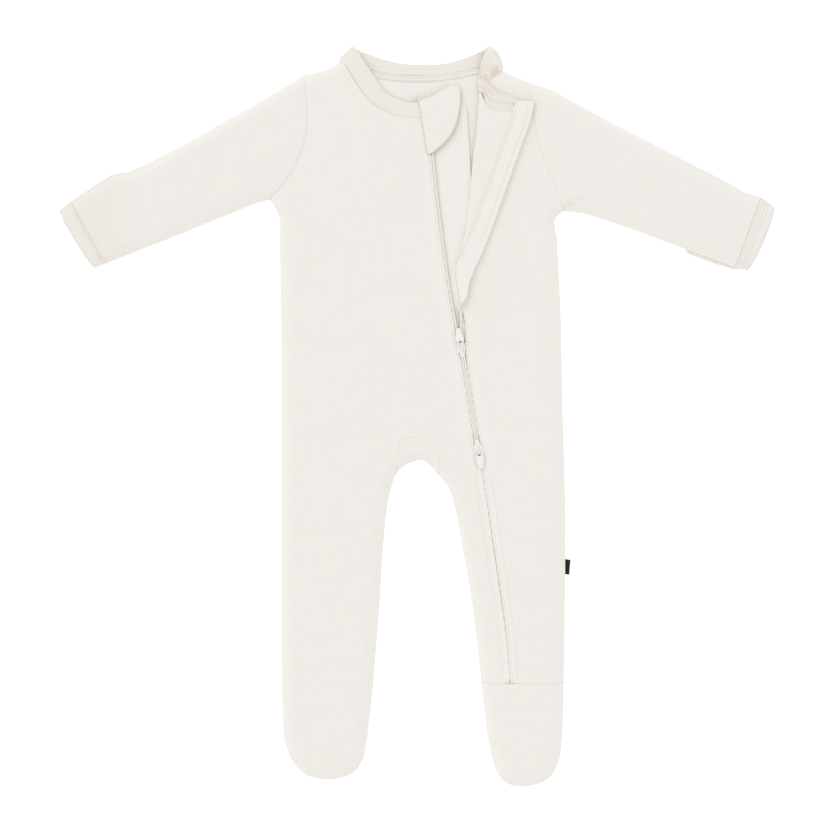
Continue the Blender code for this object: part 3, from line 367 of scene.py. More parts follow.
# Guard tab over the top of the zip: its outline, and how high it stands over the back.
GUARD = table(
    "x     y      height",
    (2.2,  249.6, 7.8),
    (3.6,  238.4, 7.7),
    (5.6,  225.0, 7.3),
    (8.4,  209.4, 7.3),
    (10.0, 208.8, 7.4),
    (16.0, 213.0, 7.8),
    (25.8, 222.0, 8.0),
    (31.4, 229.8, 7.8),
    (34.2, 238.6, 7.4),
    (35.0, 250.0, 7.0),
    (34.8, 262.6, 6.2),
    (29.0, 264.8, 6.2),
    (21.0, 261.0, 6.8),
    (12.0, 254.4, 7.6))

# Sliders: height on the zip and the way their pulls point, up is +1.
SLIDERS = table(
    "y      way",
    (55.4,  1.0),
    (-27.4, -1.0))
SLIDER_PLATE = 0.8
PULL_AXIS_RISE = 1.0        # above the slider's top plate
PULL_HALF = 0.48            # half the thickness of the tab, and of its pin
PIN_HALF = 0.45

# Label in the left side seam
LABEL_Y = -120.8
LABEL_LENGTH = 12.0
LABEL_REACH = 5.6
LABEL_WALL = 0.42
LABEL_BEND = 0.5


# ---------------------------------------------------------------- curves

def spline(ts, values, t, steady=False):
    """Smooth curve through values at the rising places ts, read at t.

    A steady curve never runs past its values.
    """
    ts = np.asarray(ts, float)
    values = np.asarray(values, float)
    slopes = np.gradient(values, ts, axis=0) if len(ts) > 2 else np.full_like(
        values, (values[-1] - values[0]) / (ts[-1] - ts[0]))
    if steady:
        runs = (np.diff(values, axis=0).T / np.diff(ts)).T
        before, after = runs[:-1], runs[1:]
        limit = 2.0 * np.minimum(np.abs(before), np.abs(after))
        held = np.clip(slopes[1:-1], -limit, limit)
        slopes[1:-1] = np.where(before * after > 0.0, held, 0.0)
    t = np.clip(np.asarray(t, float), ts[0], ts[-1])
    i = np.clip(np.searchsorted(ts, t) - 1, 0, len(ts) - 2)
    step = ts[i + 1] - ts[i]
    f = (t - ts[i]) / step
    if values.ndim > 1:
        f = f[..., None]
        step = step[..., None]
    rise = values[i] * (2 * f**3 - 3 * f**2 + 1) + values[i + 1] * (3 * f**2 - 2 * f**3)
    return rise + step * (slopes[i] * (f**3 - 2 * f**2 + f) + slopes[i + 1] * (f**3 - f**2))


def below(values, start, run):
    """0 down to start, and 1 from run below it."""
    return np.clip((start - np.asarray(values, float)) / run, 0.0, 1.0)


def above(values, start, run):
    """0 up to start, and 1 from run above it."""
    return np.clip((values - start) / run, 0.0, 1.0)


def hill(values, centre, width, power=2):
    """1 at the centre, falling smoothly to both sides; power 4 gives it a flat top."""
    return np.exp(-((values - centre) / width)**power)


def unit(vectors):
    """Rows of vectors, each made 1 long."""
    return vectors / np.linalg.norm(vectors, axis=-1, keepdims=True)


def headings(line):
    """Direction of a line at each of its points."""
    return unit(np.gradient(line, axis=0))


def left_of(ahead):
    """Directions in the plane turned left by a right angle."""
    return np.column_stack([-ahead[:, 1], ahead[:, 0]])


def lengths_along(line):
    """Distance of each point of a line from its start."""
    return np.concatenate([[0.0], np.cumsum(np.linalg.norm(np.diff(line, axis=0), axis=1))])


def column(rows, name, y):
    """A table's column read at height y; its rows may run down or up."""
    order = np.argsort(rows["y"])
    return spline(rows["y"][order], rows[name][order], y)


def zip_x(y):
    """Place of the zip's centre line."""
    return column(ZIP, "x", y)


def path(points, step=EDGE_STEP):
    """Smooth path through points, with each of them kept and others between."""
    points = np.asarray(points, float)
    places = lengths_along(points)
    stations = [np.linspace(a, b, max(1, round((b - a) / step)), endpoint=False)
                for a, b in zip(places[:-1], places[1:])]
    stations = np.append(np.concatenate(stations), places[-1])
    return spline(places, points, stations)


def between(points, start, end):
    """The stretch of a sampled path from its point nearest start to that nearest end."""
    a, b = (int(np.argmin(np.hypot(*(points - place).T))) for place in (start, end))
    return points[a:b + 1] if a <= b else points[b:a + 1][::-1]


def closed(*stretches):
    """One closed outline from stretches that meet end to end."""
    points = []
    for point in np.concatenate(stretches):
        if not points or np.hypot(*(point - points[-1])) > 0.05:
            points.append(point)
    if np.hypot(*(points[0] - points[-1])) < 0.05:
        points.pop()
    points = np.array(points)
    return points if turning(points) > 0 else points[::-1]


def turning(points):
    """Twice the signed area of a closed outline: positive if it runs anticlockwise."""
    x, y = points.T
    return float(np.sum(x * np.roll(y, -1) - np.roll(x, -1) * y))


def inset(points, distance):
    """A closed anticlockwise outline moved inwards by distance."""
    ahead = unit(np.roll(points, -1, axis=0) - points)
    behind = np.roll(ahead, 1, axis=0)
    inward = np.column_stack([-ahead[:, 1] - behind[:, 1], ahead[:, 0] + behind[:, 0]])
    spread = np.maximum(np.sum(inward**2, axis=1) / 2.0, 0.5)
    return points + distance * inward / spread[:, None]


def distance_to(points, line, loop=False):
    """Distance of each point to a line of straight runs."""
    ends = np.roll(line, -1, axis=0) if loop else line[1:]
    starts = line if loop else line[:-1]
    run = ends - starts
    length = np.sum(run**2, axis=1)
    reach = []
    for part in np.array_split(points, len(points) // 2000 + 1):
        offset = part[:, None, :] - starts[None]
        f = np.clip(np.sum(offset * run, axis=2) / length, 0.0, 1.0)
        reach.append(np.min(np.linalg.norm(offset - f[..., None] * run, axis=2), axis=1))
    return np.concatenate(reach)


def inside(points, outline):
    """Which points lie in a closed outline."""
    x, y = points[:, :1], points[:, 1:]
    ax, ay = outline.T
    bx, by = np.roll(outline, -1, axis=0).T
    span = (ay > y) != (by > y)
    rise = np.where(by == ay, 1.0, by - ay)
    return np.sum(span & (x < (bx - ax) * (y - ay) / rise + ax), axis=1) % 2 == 1


# ---------------------------------------------------------------- seams and rim

def leg_side(name):
    return np.column_stack([LEGS[name], LEGS["y"]])


def body_side(name):
    return np.column_stack([BODY[name], BODY["y"]])


RIGHT_UNDERARM = RIGHT_ARMHOLE[-1]
LEFT_UNDERARM = LEFT_ARMHOLE[-1]
RIM_CORNERS = np.concatenate([
    [RIGHT_UNDERARM], body_side("right_side"), leg_side("right_outer"),
    RIGHT_TOE, leg_side("right_inner")[::-1], CROTCH,
    leg_side("left_inner"), LEFT_TOE, leg_side("left_outer")[::-1],
    body_side("left_side")[::-1], [LEFT_UNDERARM]])
RIM = path(RIM_CORNERS)
RIGHT_SHOULDER_EDGE = path(RIGHT_SHOULDER)
LEFT_SHOULDER_EDGE = path(LEFT_SHOULDER)
ANKLE_INNER = leg_side("left_inner")[ANKLE_ROW]
ANKLE_OUTER = leg_side("left_outer")[ANKLE_ROW]
GUSSET_RIGHT = GUSSET_SEAM[0]
GUSSET_LEFT = GUSSET_SEAM[-1]


def sleeve_edges(rows):
    return (np.column_stack([rows["top_x"], rows["top_y"]]),
            np.column_stack([rows["under_x"], rows["under_y"]]))


RIM_LINES = [RIM, RIGHT_SHOULDER_EDGE, LEFT_SHOULDER_EDGE,
             *sleeve_edges(RIGHT_SLEEVE), *sleeve_edges(LEFT_SLEEVE)]


def front_height(points):
    """Height of the middle of the fronts' wall: low at the rim and level inside it."""
    points = np.atleast_2d(points)
    reach = np.min([distance_to(points, line) for line in RIM_LINES], axis=0)
    rise = np.sin(0.5 * math.pi * np.minimum(reach / LOFT_RUN, 1.0))
    return WALL + GAP + 0.5 * WALL + LOFT * rise


def slider_bulge(y):
    """How far the cloth edges spread beside the sliders."""
    return sum(SLIDER_BULGE * hill(y, centre, SLIDER_BULGE_RUN, 4)
               for centre in SLIDERS["y"])


def zip_edge(side, y):
    """Cloth edge beside the zip: side is -1 for the right front, +1 for the left."""
    y = np.asarray(y, float)
    cover = below(y, COVER_TOP_Y, COVER_RUN)
    half = ZIP_HALF_OPENING + cover * (ZIP_HALF_CLOSED - ZIP_HALF_OPENING)
    if side > 0:
        half = half + LAPEL_FOOT_SPREAD * hill(y, LAPEL_FOOT_Y, LAPEL_FOOT_RUN)
    aside = np.interp(y, LEAN["y"], LEAN["aside"])
    return zip_x(y) + aside + side * (half + slider_bulge(y))


def coil_half_gap(y):
    """Half the space between the coils, wider round the sliders' posts."""
    y = np.asarray(y, float)
    posts = SLIDERS["y"] + POST_PLACE * SLIDERS["way"]
    return COIL_HALF_GAP + sum(POST_SPREAD * hill(y, post, POST_RUN, 4) for post in posts)


def fold_turn(y):
    """Angle of the lapel's fold, in radians."""
    turn = np.radians(column(LAPEL, "turn", y))
    return np.where(np.asarray(y) > LAPEL_END_Y, np.clip(turn, 0.0, math.pi), 0.0)


def fold_line(y):
    """Where the lapel's fold starts to leave the front, just inside its visible edge."""
    return column(LAPEL, "fold_x", y) + FOLD_RADIUS * np.sin(0.5 * fold_turn(y))


def lapel_reach(y, width):
    """Length along the cloth from the fold's start to a place width from its edge."""
    turn = fold_turn(y)
    return width + FOLD_RADIUS * (turn - np.sin(0.5 * turn))


def place_left(points, h):
    """The left front's cloth: u across, y along and h outwards, with the lapel turned."""
    points = np.atleast_2d(points)
    u, y = points.T
    turn = fold_turn(y)
    start = fold_line(y)
    s = np.maximum(start - u, 0.0)
    folded = (s > 0) & (turn > 0)
    angle = np.where(folded, np.minimum(s / FOLD_RADIUS, turn), 0.0)
    past = np.where(folded, s - FOLD_RADIUS * angle, 0.0)
    x = np.where(folded, start - (FOLD_RADIUS - h) * np.sin(angle) - past * np.cos(angle), u)
    rise = np.where(folded, FOLD_RADIUS - (FOLD_RADIUS - h) * np.cos(angle)
                    + past * np.sin(angle), h)
    base = front_height(np.column_stack([x, y]))
    return np.column_stack([x, y, base + rise])


def place_front(points, h):
    points = np.atleast_2d(points)
    return np.column_stack([points, front_height(points) + h])


def place_flat(points, h):
    points = np.atleast_2d(points)
    return np.column_stack([points, np.broadcast_to(h, len(points))])


# ---------------------------------------------------------------- meshes

def origin_shift():
    """From the tables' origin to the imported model's, read off the top pull's hinge."""
    hinge = next(j for j in frame["joints"] if j["name"] == "pull_top_hinge")
    y = SLIDERS["y"][0]
    place = np.array([float(zip_x(y)), y, slider_levels(y)[2] + PULL_AXIS_RISE])
    return np.array(hinge["pos_m"]) / MM - place


def slider_axes(y, way):
    """Origin on the pull's axis, and the directions across, along and up."""
    slope = float(zip_x(y + 2.0) - zip_x(y - 2.0)) / 4.0
    along = np.array([slope, 1.0, 0.0]) * way
    along /= np.linalg.norm(along)
    up = np.array([0.0, 0.0, 1.0])
    origin = np.array([float(zip_x(y)), y, 0.0])
    return origin, np.cross(along, up), along, up


def slider_levels(y):
    """Heights of the lower plate's top and the upper plate's underside and top."""
    middle = float(front_height([(float(zip_x(y)), y)])[0])
    tape_low = middle - 0.5 * WALL - GAP - TAPE_WALL
    coil_top = middle - 0.5 * WALL + COIL_HEIGHT
    return tape_low - GAP, coil_top + GAP, coil_top + GAP + SLIDER_PLATE


SHIFT = origin_shift()


def make_piece(name, vertices, faces, look, weave=None, node=None, body="root", slot=None):
    """A shown piece from points in millimetres; weave is each point's (u, v, tint), and a
    tint below 0 is painted shade.
    """
    mesh = bpy.data.meshes.new(name)
    points = (np.asarray(vertices) + SHIFT) * MM
    mesh.from_pydata(points.tolist(), [], [list(map(int, face)) for face in faces])
    mesh.shade_smooth()
    mesh.materials.append(look)
    if weave is not None:
        kept = mesh.attributes.new("weave", "FLOAT_VECTOR", "POINT")
        kept.data.foreach_set("vector", np.ascontiguousarray(weave, np.float32).ravel())
    made = bpy.data.objects.new(name, mesh)
    bpy.context.scene.collection.objects.link(made)
    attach(made, body)
    if node:
        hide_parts(node)
    return made


RINGS = (0.12, 0.35, 0.8, 1.5, 2.4)     # rows of points inside a panel's edge


def filled(outline, grid, extra):
    """Points and triangles in a closed outline: rows along its edge, then a grid."""
    low, high = outline.min(axis=0), outline.max(axis=0)
    rows = np.arange(low[1], high[1], grid * 0.866)
    candidates = np.array([(x + (grid / 2 if i % 2 else 0.0), y)
                           for i, y in enumerate(rows)
                           for x in np.arange(low[0], high[0], grid)])
    candidates = candidates[inside(candidates, outline)]
    reach = distance_to(candidates, outline, True)
    groups = [candidates[reach > RINGS[-1] + 0.7 * grid]]
    for distance in RINGS:
        follow = inset(outline, distance)
        groups.append(follow[distance_to(follow, outline, True) > 0.93 * distance])
    inner = np.concatenate(groups)
    if extra is not None:
        near = np.concatenate([
            np.min(np.linalg.norm(chunk[:, None] - extra[None], axis=2), axis=1)
            for chunk in np.array_split(inner, len(inner) // 2000 + 1)])
        inner = np.concatenate([inner[near > 0.35 * grid], extra])
    inner = inner[inside(inner, outline)]
    inner = inner[distance_to(inner, outline, True) > 0.06]
    vertices = [Vector(point) for point in np.concatenate([outline, inner])]
    count = len(outline)
    border = [(i, (i + 1) % count) for i in range(count)]
    made = delaunay_2d_cdt(vertices, border, [], 0, 1e-5, False)
    flat = np.array([tuple(v) for v in made[0]])
    faces = np.array([list(face) for face in made[2]])
    a, b, c = (flat[faces[:, k]] for k in range(3))
    area = np.abs(np.cross(b - a, c - a))
    within = inside((a + b + c) / 3.0, outline) & (area > 1e-7)
    return flat, faces[within]


def crown(reach, radius):
    """0 at an edge and 1 from radius inside it, on a quarter circle."""
    return np.sqrt(1.0 - (1.0 - np.clip(reach / radius, 0.0, 1.0))**2)


ZIP_END = np.array([float(zip_x(ZIP_END_Y)), ZIP_END_Y - 0.8])

# How strong the painted shade along the edges is, where it isn't 1
SEAM_REACH = 1.5            # a place this near a seam's line is on that seam
RIM_BOLD = 0.5
ARMHOLE_BOLD = 0.25
ANKLE_BOLD = 0.22
GUSSET_BOLD = 0.2
CROTCH_BOLD = 0.06          # beside the gusset, below CROTCH_BOLD_Y
CROTCH_BOLD_Y = -26.0
ZIP_BOLD = 0.12             # where the zip is covered


def seam_boldness(points):
    """Strength of the painted shade along edges: 1 at free edges, less at the rim and at flat
    seams, least beside the gusset.
    """
    bold = np.ones(len(points))
    ankle = ankle_seam(ANKLE_INNER[0] + 0.5, ANKLE_OUTER[0] - 0.5)
    for line, value in (*((line, RIM_BOLD) for line in RIM_LINES),
                        (RIGHT_ARMHOLE_FINE, ARMHOLE_BOLD), (LEFT_ARMHOLE_FINE, ARMHOLE_BOLD),
                        (ankle, ANKLE_BOLD), (GUSSET_FINE, GUSSET_BOLD)):
        bold[distance_to(points, line) < SEAM_REACH] = value
    x, y = points.T
    bold[(distance_to(points, GUSSET_FINE) < SEAM_REACH) & (y < CROTCH_BOLD_Y)] = CROTCH_BOLD
    bold[np.abs(points - ZIP_END).max(axis=1) < 5.0] = 1.0
    covered = (np.abs(x - zip_edge(-1, y)) < 2.0) & (y < COVER_TOP_Y - 6.0) & (y > ZIP_END_Y)
    bold[covered] = ZIP_BOLD
    return bold


def panel(name, outline, place, look, held, rests_on, wall=WALL, middle=0.0, grid=2.6,
          relief=None, under=None, edge=0.5, extra=None, tint=None, bold=1.0, **facts):
    """A sheet of cloth with rounded edges over an outline.

    relief lifts both skins and under lifts the lower skin alone.  extra is more points
    for its mesh, tint its colour (below 0 painted shade), and bold how strong the painted
    shade along its edges is.
    """
    flat, triangles = filled(inset(outline, SEAM), grid, extra)
    reach = distance_to(flat, inset(outline, SEAM), True)
    boldness = seam_boldness(flat)
    roll = edge * np.where(boldness < 0.4, 0.12 + 0.88 * boldness, 1.0)
    half = 0.5 * wall * crown(reach, roll)
    lift = middle + (relief(flat) if relief else 0.0)
    upper = place(flat, lift + half)
    lower = place(flat, lift - half + (under(flat) if under else 0.0))
    count = len(flat)
    pairs = np.concatenate([triangles[:, [k, (k + 1) % 3]] for k in range(3)])
    codes, times = np.unique(np.sort(pairs, axis=1) @ [count, 1], return_counts=True)
    on_edge = np.zeros(count, bool)
    on_edge[codes[times == 1] // count] = True
    on_edge[codes[times == 1] % count] = True
    upper[on_edge] = lower[on_edge] = 0.5 * (upper + lower)[on_edge]
    index = np.arange(count) + count
    index[on_edge] = np.arange(count)[on_edge]
    kept = np.unique(index)
    order = np.full(2 * count, -1)
    order[:count] = np.arange(count)
    order[kept[kept >= count]] = count + np.arange(np.sum(kept >= count))
    faces = np.concatenate([triangles[:, ::-1], order[index[triangles]]])
    points = np.concatenate([lower, upper[~on_edge]])
    shade = tint(flat) if tint else np.zeros(count)
    # Painted shade along the edges, as strong as bold and seam_boldness say; lightening kept
    # off them
    shade = np.where(shade > 0.0, shade * np.clip(reach / 1.2, 0.0, 1.0), shade) \
        - bold * boldness * np.clip(1.0 - reach / 0.7, 0.0, 1.0)
    threads = np.concatenate([
        np.column_stack([flat, np.minimum(shade, 0.0)]),
        np.column_stack([flat, shade])[~on_edge]])
    made = make_piece(name, points, faces, look, threads, **facts)


def ring_faces(rows, count, start=0):
    """Faces between rings of points that follow each other, and over both ends."""
    faces = []
    for first in range(start, start + (rows - 1) * count, count):
        for k in range(count):
            a, b = first + k, first + (k + 1) % count
            faces.append([a, b, b + count, a + count])
    ends = [[first + k for k in range(count)] for first in (start, start + (rows - 1) * count)]
    return [*faces, ends[0][::-1], ends[1]]


def lattice(name, grid, look, weave, **facts):
    """A closed surface through rings of points."""
    return make_piece(name, grid.reshape(-1, 3), ring_faces(*grid.shape[:2]), look, weave,
                      **facts)


# ---------------------------------------------------------------- materials

def add(tree, kind, inputs=(), **settings):
    """A shader node: inputs are (socket, value or output) pairs."""
    made = tree.nodes.new(f"ShaderNode{kind}")
    for name, value in settings.items():
        setattr(made, name, value)
    for socket, value in inputs:
        if isinstance(value, bpy.types.NodeSocket):
            tree.links.new(value, made.inputs[socket])
        else:
            made.inputs[socket].default_value = value
    return made


def maths(tree, operation, *values):
    return add(tree, "Math", list(enumerate(values)), operation=operation).outputs[0]


def shader(name, roughness, **values):
    """A new material, its tree and its Principled shader."""
    made = bpy.data.materials.new(name)
    made.use_nodes = True
    tree = made.node_tree
    principled = tree.nodes["Principled BSDF"]
    principled.inputs["Roughness"].default_value = roughness
    for socket, value in values.items():
        principled.inputs[socket.replace("_", " ")].default_value = value
    return made, tree, principled


def thread_places(tree):
    """The weave's u and v in millimetres, and the tint."""
    places = add(tree, "Attribute", attribute_name="weave").outputs["Vector"]
    return add(tree, "SeparateXYZ", [(0, places)]).outputs


def noise_of(tree, scale, detail=2.0):
    """Noise in the piece's own space."""
    places = add(tree, "TexCoord").outputs["Object"]
    return add(tree, "TexNoise", [("Vector", places), ("Scale", scale),
                                  ("Detail", detail)]).outputs[0]


def add_bump(tree, principled, height, depth, strength=1.0):
    bump = add(tree, "Bump", [("Strength", strength), ("Distance", depth * MM),
                              ("Height", height)])
    tree.links.new(bump.outputs[0], principled.inputs["Normal"])


def blend_colour(tree, factor, first, second):
    return add(tree, "Mix", [(0, factor), (6, first), (7, second)],
               data_type="RGBA").outputs[2]


def darker(colour, share):
    return (*(share * value for value in colour), 1.0)


def with_painted_shade(tree, tint, base):
    """A base colour that turns to the painted shade colour where the tint is below 0."""
    painted_shade = maths(tree, "MAXIMUM", maths(tree, "MULTIPLY", tint, -1.0), 0.0)
    return blend_colour(tree, painted_shade, base, (*PAINTED_SHADE_COLOUR, 1.0))


def knit(name, colour, tinted, wale, course, depth):
    """Jersey or rib: rounded columns of stitches, each column a row of slanting legs."""
    made, tree, principled = shader(name, 0.9, Sheen_Weight=0.2, Sheen_Roughness=0.5,
                                    Specular_IOR_Level=0.2)
    u, v, tint = thread_places(tree)
    noise = noise_of(tree, 60.0, 3.0)
    drift = maths(tree, "MULTIPLY", noise, 0.5 * wale)
    places = maths(tree, "ADD", u, drift)
    columns = maths(tree, "ABSOLUTE", maths(tree, "SINE", maths(
        tree, "MULTIPLY", places, math.pi / wale)))
    slant = maths(tree, "PINGPONG", maths(tree, "DIVIDE", places, wale), 0.5)
    turns = maths(tree, "ADD", maths(tree, "DIVIDE", v, course), slant)
    legs = maths(tree, "SINE", maths(tree, "MULTIPLY", turns, 2.0 * math.pi))
    height = maths(tree, "ADD", columns, maths(tree, "MULTIPLY", legs, 0.3))
    height = maths(tree, "ADD", height, maths(tree, "MULTIPLY", noise_of(tree, 2500.0), 0.5))
    add_bump(tree, principled, height, depth)
    # Lighter above 0 (doubled cloth; painted light on the back in the open front), painted
    # shade below 0
    bright = maths(tree, "MAXIMUM", tint, 0.0)
    base = blend_colour(tree, bright, (*colour, 1.0), (*tinted, 1.0))
    base = with_painted_shade(tree, tint, base)
    # Painted shade in the valleys between the stitch columns, with a little random tone
    valley = maths(tree, "MULTIPLY", maths(tree, "SUBTRACT", 1.0, columns), 0.22)
    shade = maths(tree, "ADD", valley, maths(tree, "MULTIPLY", noise, 0.08))
    base = blend_colour(tree, shade, base, darker(colour, 0.86))
    tree.links.new(base, principled.inputs["Base Color"])
    return made


# Linear colours
CLOTH = (0.930, 0.890, 0.815)
# CLOTH_BRIGHT: doubled cloth, and painted light on the back inside the open front
CLOTH_BRIGHT = (0.945, 0.908, 0.838)
BAND = (0.915, 0.868, 0.790)
CUFF = (0.930, 0.876, 0.806)
TAPE = (0.940, 0.895, 0.820)
THREAD = (0.880, 0.810, 0.710)
# Painted shade: the warm darker tone of edges, grooves, creases and gaps
PAINTED_SHADE_COLOUR = (0.820, 0.700, 0.560)
NYLON = (0.93, 0.89, 0.82)
ENAMEL = (0.94, 0.91, 0.845)
BLACK = (0.012, 0.012, 0.013)


def woven(name, colour, pitch, depth, roughness=0.85):
    """Plain or twill weave: slanting ridges crossed by finer threads."""
    made, tree, principled = shader(name, roughness, Specular_IOR_Level=0.3)
    u, v, tint = thread_places(tree)
    slope = maths(tree, "ADD", u, maths(tree, "MULTIPLY", v, 0.6))
    ridges = maths(tree, "SINE", maths(tree, "MULTIPLY", slope, 2.0 * math.pi / pitch))
    cross = maths(tree, "SINE", maths(tree, "MULTIPLY", v, 2.0 * math.pi / (0.6 * pitch)))
    height = maths(tree, "ADD", ridges, maths(tree, "MULTIPLY", cross, 0.5))
    add_bump(tree, principled, height, depth)
    mottle = maths(tree, "MULTIPLY", noise_of(tree, 400.0), 0.12)
    base = blend_colour(tree, mottle, (*colour, 1.0), darker(colour, 0.85))
    tree.links.new(with_painted_shade(tree, tint, base), principled.inputs["Base Color"])
    return made


def plain(name, colour, roughness):
    """Smooth nylon with a slight mottle."""
    made, tree, principled = shader(name, roughness, Specular_IOR_Level=0.4)
    mottle = maths(tree, "MULTIPLY", noise_of(tree, 700.0), 0.4)
    base = blend_colour(tree, mottle, (*colour, 1.0), darker(colour, 0.85))
    tree.links.new(base, principled.inputs["Base Color"])
    return made


def enamel(name, colour, roughness):
    """Enamel on cast metal, faintly uneven."""
    made, tree, principled = shader(name, roughness, Coat_Weight=0.15, Coat_Roughness=0.3,
                                    Specular_IOR_Level=0.3)
    noise = noise_of(tree, 900.0, 3.0)
    add_bump(tree, principled, noise, 0.05, 0.6)
    mottle = maths(tree, "MULTIPLY", noise, 0.25)
    base = blend_colour(tree, mottle, (*colour, 1.0), darker(colour, 0.88))
    tree.links.new(base, principled.inputs["Base Color"])
    return made


def make_looks():
    return {"cloth": knit("jersey", CLOTH, CLOTH_BRIGHT, 1.25, 0.9, 0.045),
            "cuff": knit("cuff_jersey", CUFF, CLOTH, 1.25, 0.9, 0.045),
            "band": knit("rib", BAND, CLOTH_BRIGHT, 1.9, 1.0, 0.05),
            "tape": woven("twill_tape", TAPE, 0.8, 0.02),
            "thread": woven("thread", THREAD, 0.5, 0.04, 0.7),
            "pale_thread": woven("pale_thread", CUFF, 0.5, 0.04, 0.7),
            "coil": plain("nylon_coil", NYLON, 0.42),
            "metal": enamel("cream_enamel", ENAMEL, 0.38),
            "label": woven("black_tape", BLACK, 0.6, 0.06, 0.75)}


# ---------------------------------------------------------------- creases

def creases(points, rows):
    """Sum of soft troughs and ridges: each row is a line, its half width and its height.

    A crease fades at both ends and its depth and width wander along it.
    """
    lift = np.zeros(len(points))
    for k, (line, width, height) in enumerate(rows):
        line = path(line, 3.0)
        low, high = line.min(axis=0) - 4 * width, line.max(axis=0) + 4 * width
        close = np.all((points > low) & (points < high), axis=1)
        if not close.any():
            continue
        away = np.linalg.norm(points[close][:, None] - line[None], axis=2)
        place = np.argmin(away, axis=1)
        along = place / (len(line) - 1.0)
        away = away.min(axis=1)
        wander = 1.0 + 0.25 * np.sin(7.0 * along + 1.7 * k) \
            + 0.15 * np.sin(17.0 * along + 2.9 * k)
        fade = np.clip(np.sin(math.pi * np.clip(0.04 + 0.92 * along, 0.0, 1.0)), 0.0, 1.0)
        spread = width * (0.75 + 0.35 * fade) * (1.0 + 0.15 * np.sin(11.0 * along + k))
        x = away / spread
        form = np.exp(-x**2) - 0.35 * np.exp(-(x - 1.9)**2 / 0.7)
        lift[close] += height * wander * fade**0.7 * form
    return lift


def swell(points, rows):
    """Broad soft rises: centre x and y, half lengths along and across, turn, height."""
    lift = np.zeros(len(points))
    for x, y, a, b, turn, height in rows:
        dx, dy = points[:, 0] - x, points[:, 1] - y
        c, s = math.cos(math.radians(turn)), math.sin(math.radians(turn))
        lift += height * np.exp(-((c * dx + s * dy) / a)**2 - ((c * dy - s * dx) / b)**2)
    return lift


def groove(points, line, depth, width):
    """A sewn channel along a line of points."""
    return -depth * hill(distance_to(points, line), 0.0, width)


def beside(line, distance):
    """A line of points moved to its left by distance."""
    return line + distance * left_of(headings(line))


def resample(line, step):
    """Evenly spaced points on a line of points."""
    line = np.asarray(line, float)
    places = lengths_along(line)
    count = max(2, int(round(places[-1] / step)) + 1)
    at = np.linspace(0.0, places[-1], count)
    return np.column_stack([np.interp(at, places, axis) for axis in line.T])


def thread_rows(line, offsets=(-1.1, -0.45, 0.0, 0.45, 1.1)):
    """Rows of points that let a mesh take a sewn channel."""
    line = resample(line, 1.8)
    return np.concatenate([beside(line, offset) for offset in offsets])


AROUND = np.linspace(0.0, 2.0 * math.pi, 6, endpoint=False)


def ring_of(centre, side, up, radius):
    """Points round a thread or a wire."""
    return [centre + radius * (math.cos(a) * side + math.sin(a) * up) for a in AROUND]


def stitches(name, lines, place, look, rise, pitch=2.9, length=2.1, radius=0.2):
    """Runs of thread along lines of a pattern, each stitch a small rounded bar."""
    profile = [(-0.5, 0.0, -0.6), (-0.42, 0.75, -0.2), (0.0, 1.0, 0.25), (0.42, 0.75, -0.2),
               (0.5, 0.0, -0.6)]
    points, faces = [], []
    for line in lines:
        middles = resample(line, pitch)
        ahead = headings(middles)
        ends = [place(middles + ahead * length * f, rise + radius * h)
                for f, _, h in profile]
        side = place(middles + left_of(ahead), rise) - place(middles, rise)
        up = unit(np.cross(ends[-1] - ends[0], side))
        side = unit(side)
        up *= np.sign(up[:, 2:])
        for i in range(len(middles)):
            start = len(points)
            points.append(ends[0][i])
            for (_, r, _), end in zip(profile[1:4], ends[1:4]):
                points += ring_of(end[i], side[i], up[i], radius * r)
            points.append(ends[4][i])
            for k in range(6):
                j = (k + 1) % 6
                faces.append([start, start + 1 + j, start + 1 + k])
                for ring in (1, 7):
                    faces.append([start + ring + k, start + ring + j,
                                  start + ring + 6 + j, start + ring + 6 + k])
                faces.append([start + 13 + k, start + 13 + j, start + 19])
    make_piece(name, points, faces, look, np.array(points))


# ---------------------------------------------------------------- outlines

def fine(points):
    """The path that the shown edges take."""
    return path(points, FINE_STEP)


RIM_FINE = fine(RIM_CORNERS)
RIGHT_ARMHOLE_FINE = fine(RIGHT_ARMHOLE)
LEFT_ARMHOLE_FINE = fine(LEFT_ARMHOLE)
RIGHT_SHOULDER_FINE = fine(RIGHT_SHOULDER)
LEFT_SHOULDER_FINE = fine(LEFT_SHOULDER)
BACK_NECK_FINE = fine(BACK_NECK)
RIGHT_NECK_FINE = fine(RIGHT_NECK)
GUSSET_FINE = fine(GUSSET_SEAM)


def heights_along(top, bottom):
    """Finely spaced heights, from the bottom up."""
    return np.linspace(bottom, top, int(round((top - bottom) / FINE_STEP)) + 1)


def ankle_seam(start, end):
    """Points along the ankle seam, from one x to another."""
    xs = np.linspace(start, end, max(2, round(abs(end - start) / FINE_STEP)))
    f = (xs - ANKLE_INNER[0]) / (ANKLE_OUTER[0] - ANKLE_INNER[0])
    sag = np.interp(f, ANKLE_SAG["place"], ANKLE_SAG["sag"])
    return np.column_stack([xs, ANKLE_INNER[1] + f * (ANKLE_OUTER[1] - ANKLE_INNER[1]) - sag])


def lapel_pattern(points):
    """Unfolded places of points on the turned lapel."""
    x, y = points.T
    width = x - column(LAPEL, "fold_x", y)
    return np.column_stack([fold_line(y) - lapel_reach(y, width), y])


def left_zip_edge(y):
    """Unfolded zip edge of the left front, lapel included."""
    turned = fold_line(y) - lapel_reach(y, column(LAPEL, "width", y))
    return np.where(y > LAPEL_END_Y, turned, zip_edge(1, y))


def zip_line(side, y, away):
    """A line of the pattern beside the zip's edge, away from it into the cloth."""
    edge = zip_edge(-1, y) if side < 0 else left_zip_edge(y)
    return np.column_stack([edge + side * away, y])


